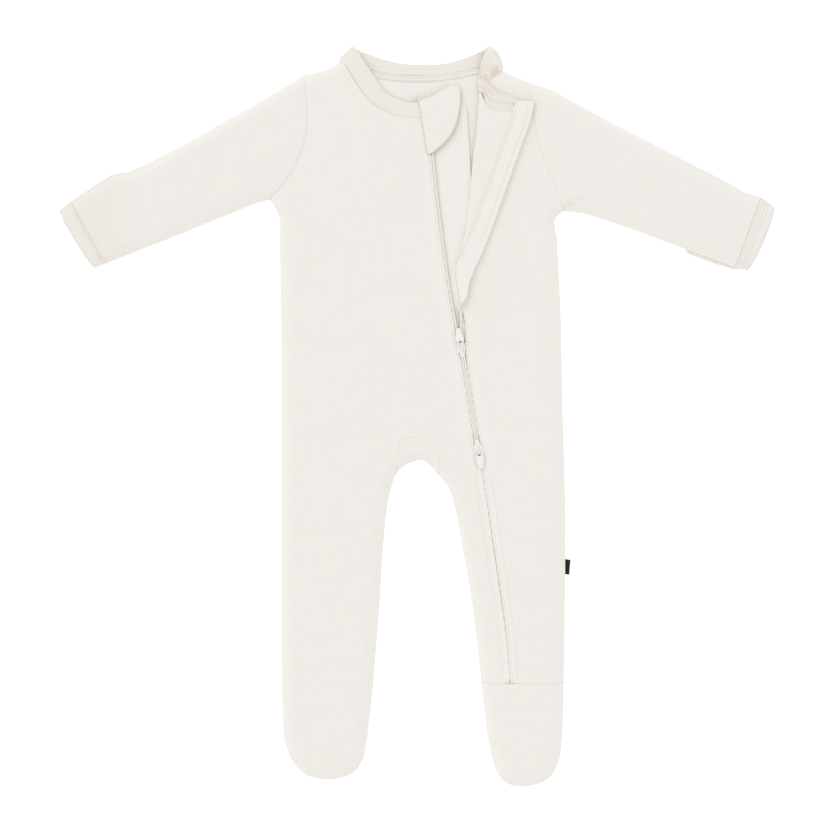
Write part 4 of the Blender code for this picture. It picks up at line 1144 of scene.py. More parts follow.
def fold_points(heights):
    """Points beside the lapel's fold line, spread over its turn."""
    rows = heights[heights > LAPEL_END_Y + 2.0]
    start, turned = fold_line(rows), FOLD_RADIUS * fold_turn(rows)
    return np.concatenate([np.column_stack([start - turned * k / FOLD_STEPS, rows])
                           for k in range(FOLD_STEPS + 1)])


# ---------------------------------------------------------------- panels

def topstitch(side, y):
    """Distance of the stitching from the cloth's edge: wider on the right, lower down."""
    return TOPSTITCH + (TOPSTITCH_LOW * below(y, COVER_TOP_Y, 12.0) if side < 0 else 0.0)


FRONT_CREASES = [
    ([(-113, 170), (-99, 158), (-84, 153)], 2.6, -0.35),
    ([(115, 162), (104, 151), (91, 147)], 2.4, -0.45),
    ([(108, 158), (99, 141), (95, 122)], 3.2, 0.25),
    ([(-21, -52), (-34, -37), (-53, -28)], 3.2, -0.4),
    ([(-13, -39), (-18, -26), (-30, -13)], 2.4, 0.25),
    ([(-13.5, -31.4), (-6, -32), (1, -33.6)], 1.1, -0.6),
    ([(22, -46), (33, -39), (43, -30)], 3, -0.3),
    ([(-102, -91), (-83, -98), (-60, -96)], 5, -0.35),
    ([(-33, -119), (-52, -130), (-75, -134)], 5, -0.35),
    ([(-105, -175), (-87, -184), (-61, -180)], 4.5, -0.3),
    ([(-37, -205), (-55, -212), (-77, -209)], 4, 0.3),
    ([(-100, -236), (-79, -243), (-55, -239)], 4, -0.3),
    ([(64, -231), (84, -238), (105, -235)], 4, -0.3),
    ([(79, -149), (95, -156), (113, -152)], 4.5, -0.3),
    ([(66, -84), (86, -93), (111, -90)], 5, 0.3),
    ([(-97, 62), (-71, 52), (-41, 55)], 7, -0.3),
    ([(-60, 120), (-39, 108), (-12, 109)], 7.5, 0.28),
    ([(-88, -14), (-62, -22), (-36, -18)], 7, -0.25),
    ([(60, -3), (84, -12), (109, -8)], 6, -0.3),
    ([(52, 78), (78, 66), (104, 70)], 7, 0.25),
    ([(-53, -284), (-57, -274), (-63, -266)], 1.7, -0.5),
    ([(-90, -285), (-86, -276), (-84, -266)], 1.8, -0.35),
    ([(74.5, -292), (77, -283), (82, -274)], 1.7, -0.5),
    ([(104, -288), (100, -279), (99, -268)], 1.8, -0.35)]
FRONT_SWELLS = [
    (-62.0, 10.0, 60.0, 34.0, 70.0, 0.5),
    (-70.0, -160.0, 70.0, 24.0, 88.0, 0.45),
    (88.0, -110.0, 74.0, 18.0, 92.0, 0.35),
    (-50.0, 180.0, 44.0, 30.0, 20.0, 0.4)]
BACK_CREASES = [
    ([(-102, 158), (-82, 146), (-55, 141)], 4.5, 0.6),
    ([(104, 150), (84, 139), (58, 137)], 4.5, 0.6),
    ([(-88, 70), (-50, 58), (-8, 62)], 6, 0.65),
    ([(90, 28), (52, 17), (12, 22)], 6.5, 0.6),
    ([(-92, -22), (-62, -33), (-30, -29)], 5.5, 0.6),
    ([(98, -48), (70, -56), (44, -50)], 5, 0.55),
    ([(-24, -62), (-44, -76), (-72, -82)], 4.5, 0.65),
    ([(34, -66), (56, -80), (84, -85)], 4.5, 0.6),
    ([(-96, -132), (-72, -140), (-44, -136)], 5, 0.6),
    ([(56, -146), (82, -154), (108, -149)], 4.5, 0.6),
    ([(-98, -206), (-74, -214), (-48, -210)], 4.5, 0.55),
    ([(62, -216), (86, -224), (110, -219)], 4.5, 0.55),
    ([(-60, -282), (-66, -266), (-68, -250)], 2.5, 0.5),
    ([(84, -288), (86, -272), (90, -256)], 2.5, 0.5),
    ([(-40, 250), (-10, 238), (26, 243)], 6, 0.55)]
PLACKET_CREASES = [
    ([(26, 232), (30, 205), (30.5, 178)], 2.2, 0.25),
    ([(33, 170), (33, 150), (31, 132)], 2, 0.25)]


def pucker(points, line, reach, pitch, height):
    """Small waves across a seam, dying away from it."""
    line = resample(line, 2.0)
    away = np.linalg.norm(points[:, None] - line[None], axis=2)
    place = np.argmin(away, axis=1)
    s = place * 2.0
    wave = np.sin(2.0 * math.pi * s / pitch + 1.3 * np.sin(s / 23.0))
    wave *= 0.6 + 0.4 * np.sin(s / 31.0)
    return height * wave * hill(away.min(axis=1), 0.0, reach)


def under_lapel(points, aside, run):
    """1 on the left front along the edge of the lapel that lies on it."""
    x, y = points.T
    edge = column(LAPEL, "fold_x", y) + column(LAPEL, "width", y) + aside
    return above(y, 96.0, 10.0) * below(y, 246.0, 6.0) * hill(x, edge, run)


def front_relief(points):
    """Creases, stitched grooves and the rise under the lapel, on both fronts."""
    lift = creases(points, FRONT_CREASES) + swell(points, FRONT_SWELLS)
    for side, top in ((-1, ZIP_TOP_Y), (1, LAPEL_END_Y)):
        ys = heights_along(top, ZIP_END_Y)
        line = zip_line(side, ys, topstitch(side, ys))
        near = np.abs(points[:, 0] - np.interp(points[:, 1], line[:, 1], line[:, 0])) < 12.0
        if near.any():
            lift[near] += groove(points[near], line, *STITCH_GROOVE)
            lift[near] += pucker(points[near], line, *PUCKER)
            low = ys < HEM_LINE_TOP_Y
            line = zip_line(side, ys[low], HEM_LINE)
            lift[near] += groove(points[near], line, *HEM_GROOVE)
    off = (points - ZIP_END) / (5.2, 1.2)
    return lift - 0.45 * np.exp(-np.sum(off**2, axis=1)) \
        + 0.85 * under_lapel(points, -0.4, 2.8)


def zip_tint(points):
    """1 on the doubled cloth beside the zip.  Below 0 is painted shade: in the stitched
    grooves, along the hem line and the closed edges, in the creases' troughs and beside the
    lapel's edge on the front; it is also darker at the zip's end.
    """
    x, y = points.T
    right, left = np.abs(x - zip_edge(-1, y)), np.abs(x - left_zip_edge(y))
    tint = below(np.minimum(right, left), 9.0, 3.0)
    low = below(y, HEM_LINE_TOP_Y, 10.0)
    lines = np.zeros(len(points))
    for away, side in ((right, -1), (left, 1)):
        lines += (1.1 - 0.3 * low) * hill(away, topstitch(side, y), 0.45) * (y < ZIP_TOP_Y)
        lines += 0.75 * hill(away, HEM_LINE, 0.5) * low
        lines += (0.55 + 0.35 * hill(y, -131.0, 45.0)) * hill(away, 0.0, 1.1) * low
    off = (points - ZIP_END + (0.0, 1.0)) / (6.4, 1.8)
    bar = np.exp(-np.sum(off**2, axis=1)**2)
    folds = creases(points, [row for row in FRONT_CREASES if row[1] < 1.5])
    return (tint - lines * (y > ZIP_END_Y)) * (1.0 - bar) - 0.6 * bar \
        - 0.35 * np.clip(-folds / 0.5, 0.0, 1.0) - 0.3 * under_lapel(points, 0.9, 1.3)


def make_back(looks):
    outline = closed(RIGHT_SHOULDER_FINE, RIGHT_ARMHOLE_FINE, RIM_FINE,
                     LEFT_ARMHOLE_FINE[::-1], LEFT_SHOULDER_FINE[::-1],
                     BACK_NECK_FINE[::-1])
    # Inside the open front the back is painted lighter where it billows: painted light against
    # its shade
    panel("back_cloth", outline, place_flat, looks["cloth"], "laid", ["floor"],
          middle=0.5 * WALL, grid=3.0, relief=inner_rise,
          under=lambda p: np.maximum(creases(p, BACK_CREASES), 0.0) - inner_rise(p),
          tint=lambda p: np.clip(inner_rise(p), 0.0, 1.0), node="back", slot="cloth")


def make_front_right(looks):
    ys = heights_along(ZIP_TOP_Y, LEGS["y"][ANKLE_ROW])
    zip_side = np.column_stack([zip_edge(-1, ys), ys])
    outline = closed(
        RIGHT_SHOULDER_FINE, RIGHT_ARMHOLE_FINE,
        between(RIM_FINE, RIGHT_UNDERARM, GUSSET_RIGHT), GUSSET_FINE,
        between(RIM_FINE, GUSSET_LEFT, ANKLE_INNER),
        ankle_seam(ANKLE_INNER[0], zip_side[0, 0]), zip_side, RIGHT_NECK_FINE[::-1])
    ys = heights_along(ZIP_TOP_Y - 3.0, ZIP_END_Y)
    low = ys[ys < COVER_TOP_Y]
    rows = np.concatenate([thread_rows(zip_line(-1, ys, topstitch(-1, ys))),
                           thread_rows(zip_line(-1, low, HEM_LINE), (-0.5, 0.0, 0.5))])
    panel("front_right_cloth", outline, place_front, looks["cloth"], "laid", ["back_cloth"],
          relief=front_relief, extra=rows, tint=zip_tint, node="front_right", slot="cloth")


def make_front_left(looks):
    neck_over = fine(LEFT_NECK_OVER)
    neck_under = fine(LEFT_NECK_UNDER)
    ys = heights_along(neck_over[-1, 1], LEGS["y"][ANKLE_ROW])
    zip_side = np.column_stack([left_zip_edge(ys), ys])
    outline = closed(
        LEFT_SHOULDER_FINE, LEFT_ARMHOLE_FINE,
        between(RIM_FINE, LEFT_UNDERARM, ANKLE_OUTER),
        ankle_seam(ANKLE_OUTER[0], zip_side[0, 0]), zip_side,
        lapel_pattern(neck_over)[::-1], neck_under[::-1])
    rows = np.concatenate([
        thread_rows(zip_line(1, heights_along(LAPEL_END_Y + 2.0, ZIP_END_Y), TOPSTITCH)),
        thread_rows(zip_line(1, heights_along(COVER_TOP_Y, ZIP_END_Y), HEM_LINE),
                    (-0.5, 0.0, 0.5)),
        fold_points(heights_along(LAPEL["y"][0], LAPEL_END_Y + 4.0))])
    panel("front_left_cloth", outline, place_left, looks["cloth"], "folded", ["back_cloth"],
          relief=front_relief, extra=rows, tint=zip_tint, node="front_left", slot="cloth")


OPENING = np.concatenate([
    [(50.0, 256.0), (52.0, 262.0), (60.0, 279.0), (50.0, 280.0), (34.0, 277.0), (8.0, 274.0),
     (-12.0, 274.0), (-32.0, 277.0), (-46.0, 281.0), (-54.0, 279.0), (-44.0, 262.0),
     (-31.0, 250.0), (-11.0, 242.0), (6.0, 240.0)],
    [(float(zip_x(y)) + 2.5, y) for y in range(232, 88, -12)],
    [(float(column(LAPEL, "fold_x", y)), y) for y in range(88, 256, 12)]])


def inner_rise(points):
    """The back and the placket billow a little inside the open front and the neck."""
    away = distance_to(points, OPENING, True)
    away = np.where(inside(points, OPENING), away, -away)
    rise = above(away, -BILLOW_REACH, BILLOW_RUN)
    rise = BILLOW * rise * rise * (3.0 - 2.0 * rise)
    rise *= above(distance_to(points, BACK_NECK_FINE), 0.0, 5.0)
    x, y = points.T
    past = x - zip_x(y)
    room = 1.35 + 0.9 * np.clip(past - 0.5, 0.0, 3.0) + 0.25 * np.clip(y - 252.0, 0.0, 9.0)
    room = np.where(past > -14.0, room, 3.0)
    under_front = np.minimum(room, 0.75 * (front_height(points) - 2.4))
    room = np.where(inside(points, OPENING), room, under_front)
    return np.clip(np.minimum(rise, room), 0.0, None)


def on_back(points, h):
    """A place over the back's upper side, where it billows."""
    return place_flat(points, h + inner_rise(points))


def on_front(points, h):
    """A place over the fronts' middle, with their relief."""
    return place_front(points, h + front_relief(points))


def make_seam_stitches(looks):
    """Topstitching beside the zip, on the lapel's tape and inside the back neck."""
    ys = heights_along(ZIP_TOP_Y - 4.0, ZIP_END_Y + 1.0)
    runs = [zip_line(-1, ys, topstitch(-1, ys)),
            zip_line(1, heights_along(LAPEL_END_Y, ZIP_END_Y + 1.0), TOPSTITCH)]
    stitches("zip_stitches", runs, on_front, looks["thread"], rise=0.5 * WALL - 0.04)
    ys = heights_along(*LAPEL_STITCH_ENDS)
    edge = coil_line(1, ys)
    runs = [np.column_stack([edge + away, ys]) for away in LAPEL_STITCH_AWAY]
    stitches("lapel_stitches", runs, place_left, looks["thread"],
             rise=-0.5 * WALL - GAP - TAPE_WALL - 0.08)
    rows = [beside(resample(BACK_NECK_FINE, 1.0)[6:-5], -away) for away in NECK_STITCH_AWAY]
    stitches("back_neck_stitches", rows, on_back, looks["thread"], rise=WALL + 0.1)
    bars = [np.array([a + 0.12 * (b - a), a + 0.88 * (b - a)])
            for a, b in zip(resample(rows[0], 1.5), resample(rows[1], 1.5))]
    stitches("back_neck_loopers", bars, on_back, looks["thread"], pitch=3.2, length=3.0,
             radius=0.16, rise=WALL + 0.06)
    runs = [np.array([(x, y) for y in LAPEL_TOP_ENDS]) for x in LAPEL_TOP_X]
    stitches("lapel_top_stitches", runs, place_flat, looks["thread"], pitch=1.6, length=1.1,
             radius=0.18, rise=LAPEL_TOP_RISE)


def make_foot_left(looks):
    outline = closed(between(RIM_FINE, ANKLE_INNER, ANKLE_OUTER),
                     ankle_seam(ANKLE_OUTER[0], ANKLE_INNER[0]))
    panel("foot_left_cloth", outline, place_front, looks["cloth"], "laid", ["back_cloth"],
          relief=front_relief, tint=lambda p: np.minimum(zip_tint(p), 0.0),
          node="foot_left", slot="cloth")


def make_gusset(looks):
    outline = closed(GUSSET_FINE, between(RIM_FINE, GUSSET_LEFT, GUSSET_RIGHT))
    panel("gusset_cloth", outline, place_front, looks["cloth"], "laid", ["back_cloth"],
          relief=front_relief, grid=2.0, node="gusset", slot="cloth")


# ---------------------------------------------------------------- sleeves

SLEEVE_CREASES = {
    "right": [
        ([(-217, 158.4), (-196, 162), (-179.6, 160), (-165, 155)], 2.8, -0.45),
        ([(-213, 145), (-198, 150.5), (-181, 153)], 2.6, -0.4),
        ([(-132, 172), (-121, 184), (-114, 200)], 3.2, -0.4),
        ([(-150, 232), (-157, 212), (-156, 190)], 6, -0.3),
        ([(-258, 176), (-247, 160), (-243, 142)], 3.2, -0.3),
        ([(-205, 200), (-213, 182), (-209, 168)], 4, 0.3)],
    "left": [
        ([(117, 165.5), (124, 171), (133, 176)], 2, -0.9),
        ([(118.5, 160.5), (130, 165), (144, 167.5)], 2.5, 0.35),
        ([(150, 228), (158, 209), (156, 188)], 6, -0.3),
        ([(206, 150), (190, 154), (173, 151)], 3, -0.4),
        ([(214, 196), (207, 180), (212, 162)], 4, -0.3),
        ([(256, 180), (248, 162), (247, 142)], 3.2, -0.3)]}


def sleeve_grid(side, rows, seam, start, end, wall, proud):
    """Rings of a flattened tube from station to station: their points and their weave."""
    stations = np.arange(len(rows["lift"]), dtype=float)
    tops, unders = sleeve_edges(rows)
    wrist = stations[-1]
    seam_places = lengths_along(seam)
    seam_places /= seam_places[-1]
    hand = np.sign(seam[0, 0])
    outward = hand * left_of(headings(seam))
    start_line = tops[0] + seam_places[:, None] * (unders[0] - tops[0])
    bow = seam + SEAM * outward - start_line
    near = np.array([0.0, 0.25, 0.7, 1.4, 2.4, 3.8, 5.6, 7.8, 10.4])
    wide = np.linalg.norm(tops[0] - unders[0])
    last = near[-1]
    inner = np.linspace(last, wide - last, int((wide - 2.0 * last) / 2.7))[1:-1]
    across = np.concatenate([near, inner, wide - near[::-1]]) / wide
    total = lengths_along(0.5 * (tops + unders))
    run = float(np.interp(end, stations, total) - np.interp(start, stations, total))
    rings, weave = [], []
    down = 0.0
    places = np.linspace(start, end, max(3, round(run / SLEEVE_STEP) + 1))
    for t in places:
        a, b = spline(stations, tops, t), spline(stations, unders, t)
        lift = float(np.interp(t, stations, rows["lift"]))
        shift = np.column_stack([np.interp(across, seam_places, axis) for axis in bow.T])
        flat = a + across[:, None] * (b - a) + shift * max(0.0, 1.0 - t / 3.0)**1.5
        out = np.array([b[1] - a[1], a[0] - b[0]]) * -hand
        out /= np.linalg.norm(out)
        bulge = HEM_BOW[side] * max(0.0, t - wrist + 1.0)**2
        flat += bulge * (4.0 * across * (1.0 - across))[:, None] * out
        reach = np.minimum(across, 1.0 - across) * np.linalg.norm(b - a)
        top = front_height(flat)
        upper = np.maximum(top, lift + wall + GAP + 0.5 * wall) + 0.5 * wall + proud
        relief = creases(flat, SLEEVE_CREASES[side])
        middle = 0.5 * (top[0] + 0.5 * wall + lift)
        rounding = crown(reach, 1.8)
        high = middle + (upper - middle + relief) * rounding
        low = middle + (lift - middle) * rounding
        edge = (b - a) / np.linalg.norm(b - a) * proud
        flat[0] -= edge
        flat[-1] += edge
        rings.append(np.concatenate([
            np.column_stack([flat, high]),
            np.column_stack([flat, low])[-2:0:-1]]))
        along = across * np.linalg.norm(b - a)
        # Painted shade in the sharp creases' troughs, and over the right sleeve's wrist end
        sharp = creases(flat, [row for row in SLEEVE_CREASES[side] if row[1] < 2.2])
        tint = -0.4 * np.clip(-sharp / 0.8, 0.0, 1.0)
        if side == "right":
            tint = tint - 0.13 * min(1.0, max(0.0, 0.5 * (t - wrist + 5.0)))
        weave.append(np.concatenate([
            np.column_stack([along, np.full_like(along, down), tint]),
            np.column_stack([2 * along[-1] - along[-2:0:-1],
                             np.full(len(along) - 2, down), np.zeros(len(along) - 2)])]))
        down += run / (len(places) - 1)
    return np.array(rings), np.array(weave)


def ring_normals(grid):
    """Outward directions of a closed grid of rings."""
    around = np.roll(grid, -1, axis=1) - np.roll(grid, 1, axis=1)
    along = np.gradient(grid, axis=0)
    normal = np.cross(around, along)
    normal /= np.maximum(np.linalg.norm(normal, axis=2), 1e-9)[..., None]
    centre = grid.mean(axis=1, keepdims=True)
    if np.sum(normal * (grid - centre)) < 0:
        normal = -normal
    return normal


def tube_piece(name, outer, weave, wall, look, **facts):
    """A closed wall inside a grid of rings, open at both ends, its rims rounded."""
    normal = ring_normals(outer)
    inner = outer - wall * normal
    low = outer[..., 2].min(axis=1)[:, None] + wall
    high = outer[..., 2].max(axis=1)[:, None] - wall
    inner[..., 2] = np.clip(inner[..., 2], low, np.maximum(high, low))

    def rim(end, towards):
        out = unit(outer[end] - outer[towards])
        return 0.5 * (outer[end] + inner[end]) + 0.35 * wall * out

    grid = np.concatenate([rim(0, 1)[None], outer, rim(-1, -2)[None], inner[::-1]])
    rows, count = grid.shape[:2]
    faces = []
    for i in range(rows):
        j = (i + 1) % rows
        a = i * count + np.arange(count)
        b = i * count + (np.arange(count) + 1) % count
        faces.append(np.column_stack([a, b, b - i * count + j * count,
                                      a - i * count + j * count]))
    threads = np.concatenate([weave[:1], weave, weave[-1:], weave[::-1]])
    return make_piece(name, grid.reshape(-1, 3), np.concatenate(faces), look,
                      threads.reshape(-1, 3), **facts)


def make_sleeve(side, rows, seam, looks):
    wrist = len(rows["lift"]) - 1.0
    for kind, start, end, wall, proud, look in (
            ("sleeve", 0.0, wrist - 1.0, WALL, 0.0, "cloth"),
            ("cuff", wrist - 0.995, wrist, CUFF_WALL, CUFF_PROUD, "cuff")):
        outer, weave = sleeve_grid(side, rows, seam, start, end, wall, proud)
        piece = tube_piece(f"{kind}_{side}_cloth", outer, weave, wall, looks[look],
                           node=f"{kind}_{side}", slot=look)


def place_hem(points, h):
    top = np.maximum(front_height(points), MITT_ROOM + 1.5 * CUFF_WALL + GAP)
    return np.column_stack([points, top + 0.5 * CUFF_WALL + CUFF_PROUD + h])


def make_hem_stitches(side, rows, looks):
    """Rows of stitches round the wrist, above and below."""
    tops, unders = sleeve_edges(rows)
    stations = np.arange(len(tops), dtype=float)
    wrist, runs = stations[-1], []
    for t in wrist - np.array(HEM_ROWS[side]):
        a, b = spline(stations, tops, t), spline(stations, unders, t)
        runs.append(a + np.linspace(0.03, 0.97, 30)[:, None] * (b - a))
    thread = looks["pale_thread" if side == "right" else "thread"]
    stitches(f"hem_{side}_stitches", runs, place_hem, thread, rise=0.12)
    stitches(f"hem_{side}_under_stitches", runs, place_flat, looks["thread"],
             rise=MITT_ROOM)


def make_mitt(side, corners, looks):
    corners = closed(corners)
    outline = resample(np.concatenate([corners, corners[:1]]), FINE_STEP)[:-1]
    panel(f"mitt_{side}_cloth", outline, place_flat, looks["cloth"], "laid", ["floor"],
          middle=0.5 * WALL, grid=3.0, node=f"mitt_{side}", slot="cloth")


# ---------------------------------------------------------------- band, placket, guard

def crumple(row, end):
    """1 where the neckband is crumpled over the left shoulder, up to its row end."""
    return above(row, 17.2, 1.3) * below(row, end, 1.0)


def band_rows():
    """Finely spaced rows of the neckband and how crumpled each is."""
    rows = np.column_stack(list(NECKBAND.values()))
    middle = 0.5 * (rows[:, :3] + rows[:, 3:6])
    steps = np.maximum(np.linalg.norm(np.diff(middle, axis=0), axis=1), 2.0)
    places = np.concatenate([[0.0], np.cumsum(steps)])
    stations = np.linspace(0.0, places[-1], int(places[-1] / 0.48))
    row = np.interp(stations, places, np.arange(len(places)))
    crumpled = crumple(row, 26.2)
    rows = spline(places, rows, stations, True)
    seam, free = rows[:, :3], rows[:, 3:6]
    reach = seam - free
    over = 1.6 * hill(row, 18.8, 1.2, 4) + hill(row, 23.0, 2.3, 4)
    tuck = (BAND_REACH + 1.5 * over)[:, None] * reach / np.linalg.norm(reach, axis=1)[:, None]
    seam = seam + tuck - over[:, None] * (0.0, 0.0, 0.45)
    free = free - 0.22 * (crumpled * above(row, 20.0, 2.0))[:, None] * reach
    middle = 0.5 * (seam + free)
    out = unit(np.cross(np.gradient(middle, axis=0), free - seam))
    return seam, free, rows[:, 6], out, crumpled, row, lengths_along(middle)


def band_fold(row, s, across):
    """Creases of the crumpled stretch, along and across the band, and the loop's hollow."""
    fold = np.sin(2.0 * math.pi * (2.6 * across + 0.22 * np.sin(s / 6.3) + 0.15))
    fold = fold * (0.75 + 0.2 * np.sin(s / 3.9 + 1.0))
    loop = hill(row, 18.4, 1.2, 4)
    ribs = 0.3 * np.sin(2.0 * math.pi * (s / 2.4 + 2.2 * across))
    hollow = 2.9 * np.exp(-((row - 18.15) / 0.45)**2 - ((across - 0.2) / 0.16)**2)
    mouth = 0.9 * np.exp(-((row - 17.1) / 0.3)**2 - ((across - 0.6) / 0.3)**2)
    ripple = fold * (1.0 - 0.8 * loop) + loop * ribs
    return crumple(row, 26.9) * ripple * np.sin(math.pi * across) + hollow + mouth


def make_neckband(looks):
    seam, free, bow, out, crumpled, row, real = band_rows()
    across = np.array([0.0, 0.03, 0.08, 0.15, 0.21, 0.26, 0.3, 0.34, 0.39, 0.46, 0.54, 0.62,
                       0.7, 0.78, 0.85, 0.92, 0.97, 1.0])
    width = np.linalg.norm(free - seam, axis=1)
    rings, weave = [], []
    for i in range(len(real)):
        reach = np.minimum(across, 1.0 - across) * width[i]
        half = 0.5 * BAND_WALL * crown(reach, 0.9)
        half += 0.11 * math.sin(2.0 * math.pi * real[i] / 1.9) * crown(reach, 1.5)
        half -= 0.22 * hill(across * width[i], BAND_STITCH, 0.5) * (1.0 - crumpled[i])
        dip = band_fold(row[i], real[i], across)
        line = seam[i] + across[:, None] * (free[i] - seam[i]) \
            - out[i] * (bow[i] * 4 * across * (1 - across) + dip)[:, None]
        ring = np.concatenate([line + out[i] * half[:, None],
                               (line - out[i] * half[:, None])[-2:0:-1]])
        ring[:, 2] = np.maximum(ring[:, 2], 0.0)
        rings.append(ring)
        v = np.concatenate([across, 2.0 - across[-2:0:-1]]) * width[i]
        # Painted shade along the band's edges (fainter on the seam edge behind the neck),
        # lightly over the crumpled stretch and in its dips, and a painted shadow across the
        # band at row
        # 15.7, beside the loop.
        quiet = 0.2 if 9.0 < row[i] < 16.8 else 0.55
        painted_shade = -np.clip(1.0 - reach / 0.8, 0.0, 1.0) * np.where(across < 0.5, quiet, 1.0)
        painted_shade = np.minimum(painted_shade, -0.14 * crumpled[i] - 0.7 * np.clip(dip - 0.2, 0.0, 1.4))
        painted_shade = painted_shade - 0.75 * math.exp(-((row[i] - 15.7) / 0.35)**2) * across
        weave.append(np.column_stack([np.full(len(ring), real[i]), v,
                                      np.concatenate([painted_shade, painted_shade[-2:0:-1]])]))
    made = lattice("neckband_cloth", np.array(rings), looks["band"],
                   np.concatenate(weave), node="neckband", slot="band")

    def place_band(points, h):
        s, v = points.T
        f = v / np.interp(s, real, width)
        at = [np.column_stack([np.interp(s, real, column) for column in values.T])
              for values in (seam, free, out)]
        level = h + 0.5 * BAND_WALL - np.interp(s, real, bow) * 4 * f * (1 - f) \
            - band_fold(np.interp(s, real, row), s, f)
        return at[0] + f[:, None] * (at[1] - at[0]) + at[2] * level[:, None]

    front = np.column_stack([np.linspace(2.0, np.interp(8.2, row, real), 60),
                             np.full(60, BAND_STITCH)])
    stitches("neckband_stitches", [front], place_band, looks["thread"], rise=-0.12)


def placket_relief(points):
    """The placket rises towards the open zip, and lies flat under the sliders."""
    x, y = points.T
    across = x - zip_x(y)
    rise = above(y, 62.0, 8.0) * below(y, 250.0, 10.0)
    opened = above(y, 88.0, 14.0) * below(y, 236.0, 20.0)
    aside = above(across, 0.6, 2.4) * hill(across, 4.0, 7.0)
    return np.maximum(1.35 * rise * hill(across, 0.0, 7.0) + 1.3 * opened * aside,
                      inner_rise(points)) + creases(points, PLACKET_CREASES)


def make_placket(looks):
    ys = heights_along(PLACKET["y"][0], PLACKET["y"][-1])
    centre = zip_x(ys)
    left = column(PLACKET, "to_left", ys) - 0.55 * np.clip(ys - 246.5, 0.0, 9.0)
    outline = closed(
        np.column_stack([centre - column(PLACKET, "to_right", ys), ys]),
        np.column_stack([centre + left, ys])[::-1])
    panel("placket_cloth", outline, place_flat, looks["cloth"], "laid", ["back_cloth"],
          middle=1.5 * WALL + GAP, relief=placket_relief, grid=3.0, bold=0.6,
          tint=lambda p: np.ones(len(p)), node="placket", slot="cloth")


def place_guard(points, h):
    outline = np.column_stack([GUARD["x"], GUARD["y"]])
    points = np.atleast_2d(points)
    weights = 1.0 / (np.linalg.norm(points[:, None] - outline[None], axis=2) + 1.5)**2
    height = weights @ GUARD["height"] / weights.sum(axis=1)
    middle = outline.mean(axis=0)
    rise = 0.4 * np.exp(-np.sum((points - middle)**2, axis=1) / 150.0)
    return np.column_stack([points, height + rise + h])


GUARD_CURVE = np.array([
    (9.0, 208.4), (11.6, 209.4), (16.4, 212.8), (21.6, 217.4), (26.4, 222.8), (30.4, 229.4),
    (33.0, 236.6), (34.4, 244.0), (35.0, 252.0), (34.8, 262.6)])


def guard_painted_shade(points):
    """Painted shade along the guard's curved side, where it stands over the placket."""
    return -0.8 * hill(distance_to(points, GUARD_CURVE[:-2]), 0.0, 1.0)


def make_guard(looks):
    """The guard has a straight side along the zip and a curved one."""
    outline = closed(fine([(1.8, 252.0), (9.0, 208.4)]), path(GUARD_CURVE, 1.8),
                     fine([(34.8, 262.6), (29.0, 264.8), (21.0, 261.0), (12.0, 255.4),
                           (1.8, 252.0)]))
    panel("guard_cloth", outline, place_guard, looks["cloth"], "laid", ["placket_cloth"],
          wall=BAND_WALL, middle=0.5 * BAND_WALL, grid=1.9, edge=0.8, tint=guard_painted_shade,
          node="zip_guard", slot="cloth")


# ---------------------------------------------------------------- zip

def coil_line(side, y):
    """Middle edge of a coil, unfolded; on the lapel it runs beside the cloth's edge."""
    closed_line = zip_x(y) + side * coil_half_gap(y)
    if side < 0:
        return closed_line
    free = 1.0 - below(y, SLIDERS["y"][0] + 30.0, 26.0)
    turned = left_zip_edge(y) - COIL_WIDTH - GAP
    return closed_line + free * (turned - closed_line)


def coil_drop(y):
    """How much deeper the coil and its tape lie where the cloth covers them."""
    return COIL_DROP * below(y, COIL_DROP_Y, COIL_DROP_RUN)


def make_zip_half(side, name, place, looks):
    ys = heights_along(TAPE_TOP_Y, ZIP_END_Y)
    edge = coil_line(side, ys)
    width = np.full_like(ys, TAPE_WIDTH)
    if side > 0:
        width = LAPEL_TAPE_WIDTH + (TAPE_WIDTH - LAPEL_TAPE_WIDTH) * below(ys, 84.0, 25.0)
    outline = closed(np.column_stack([edge, ys]),
                     np.column_stack([edge + side * width, ys])[::-1])

    def place_tape(points, h):
        y = points[:, 1]
        deeper = coil_drop(y)
        if side > 0:
            deeper = deeper + TWIST_SLACK * hill(y, TWIST_Y, TWIST_RUN, 4)
        return place(points, h - deeper)

    panel(f"zip_tape_{name}_weave", outline, place_tape, looks["tape"],
          "folded" if side > 0 else "laid", ["placket_cloth"], wall=TAPE_WALL,
          middle=-0.5 * WALL - GAP - 0.5 * TAPE_WALL, edge=0.4,
          extra=fold_points(ys) if side > 0 else None, bold=0.3, node=f"zip_tape_{name}",
          slot="tape")
    make_coil(side, name, place, looks)


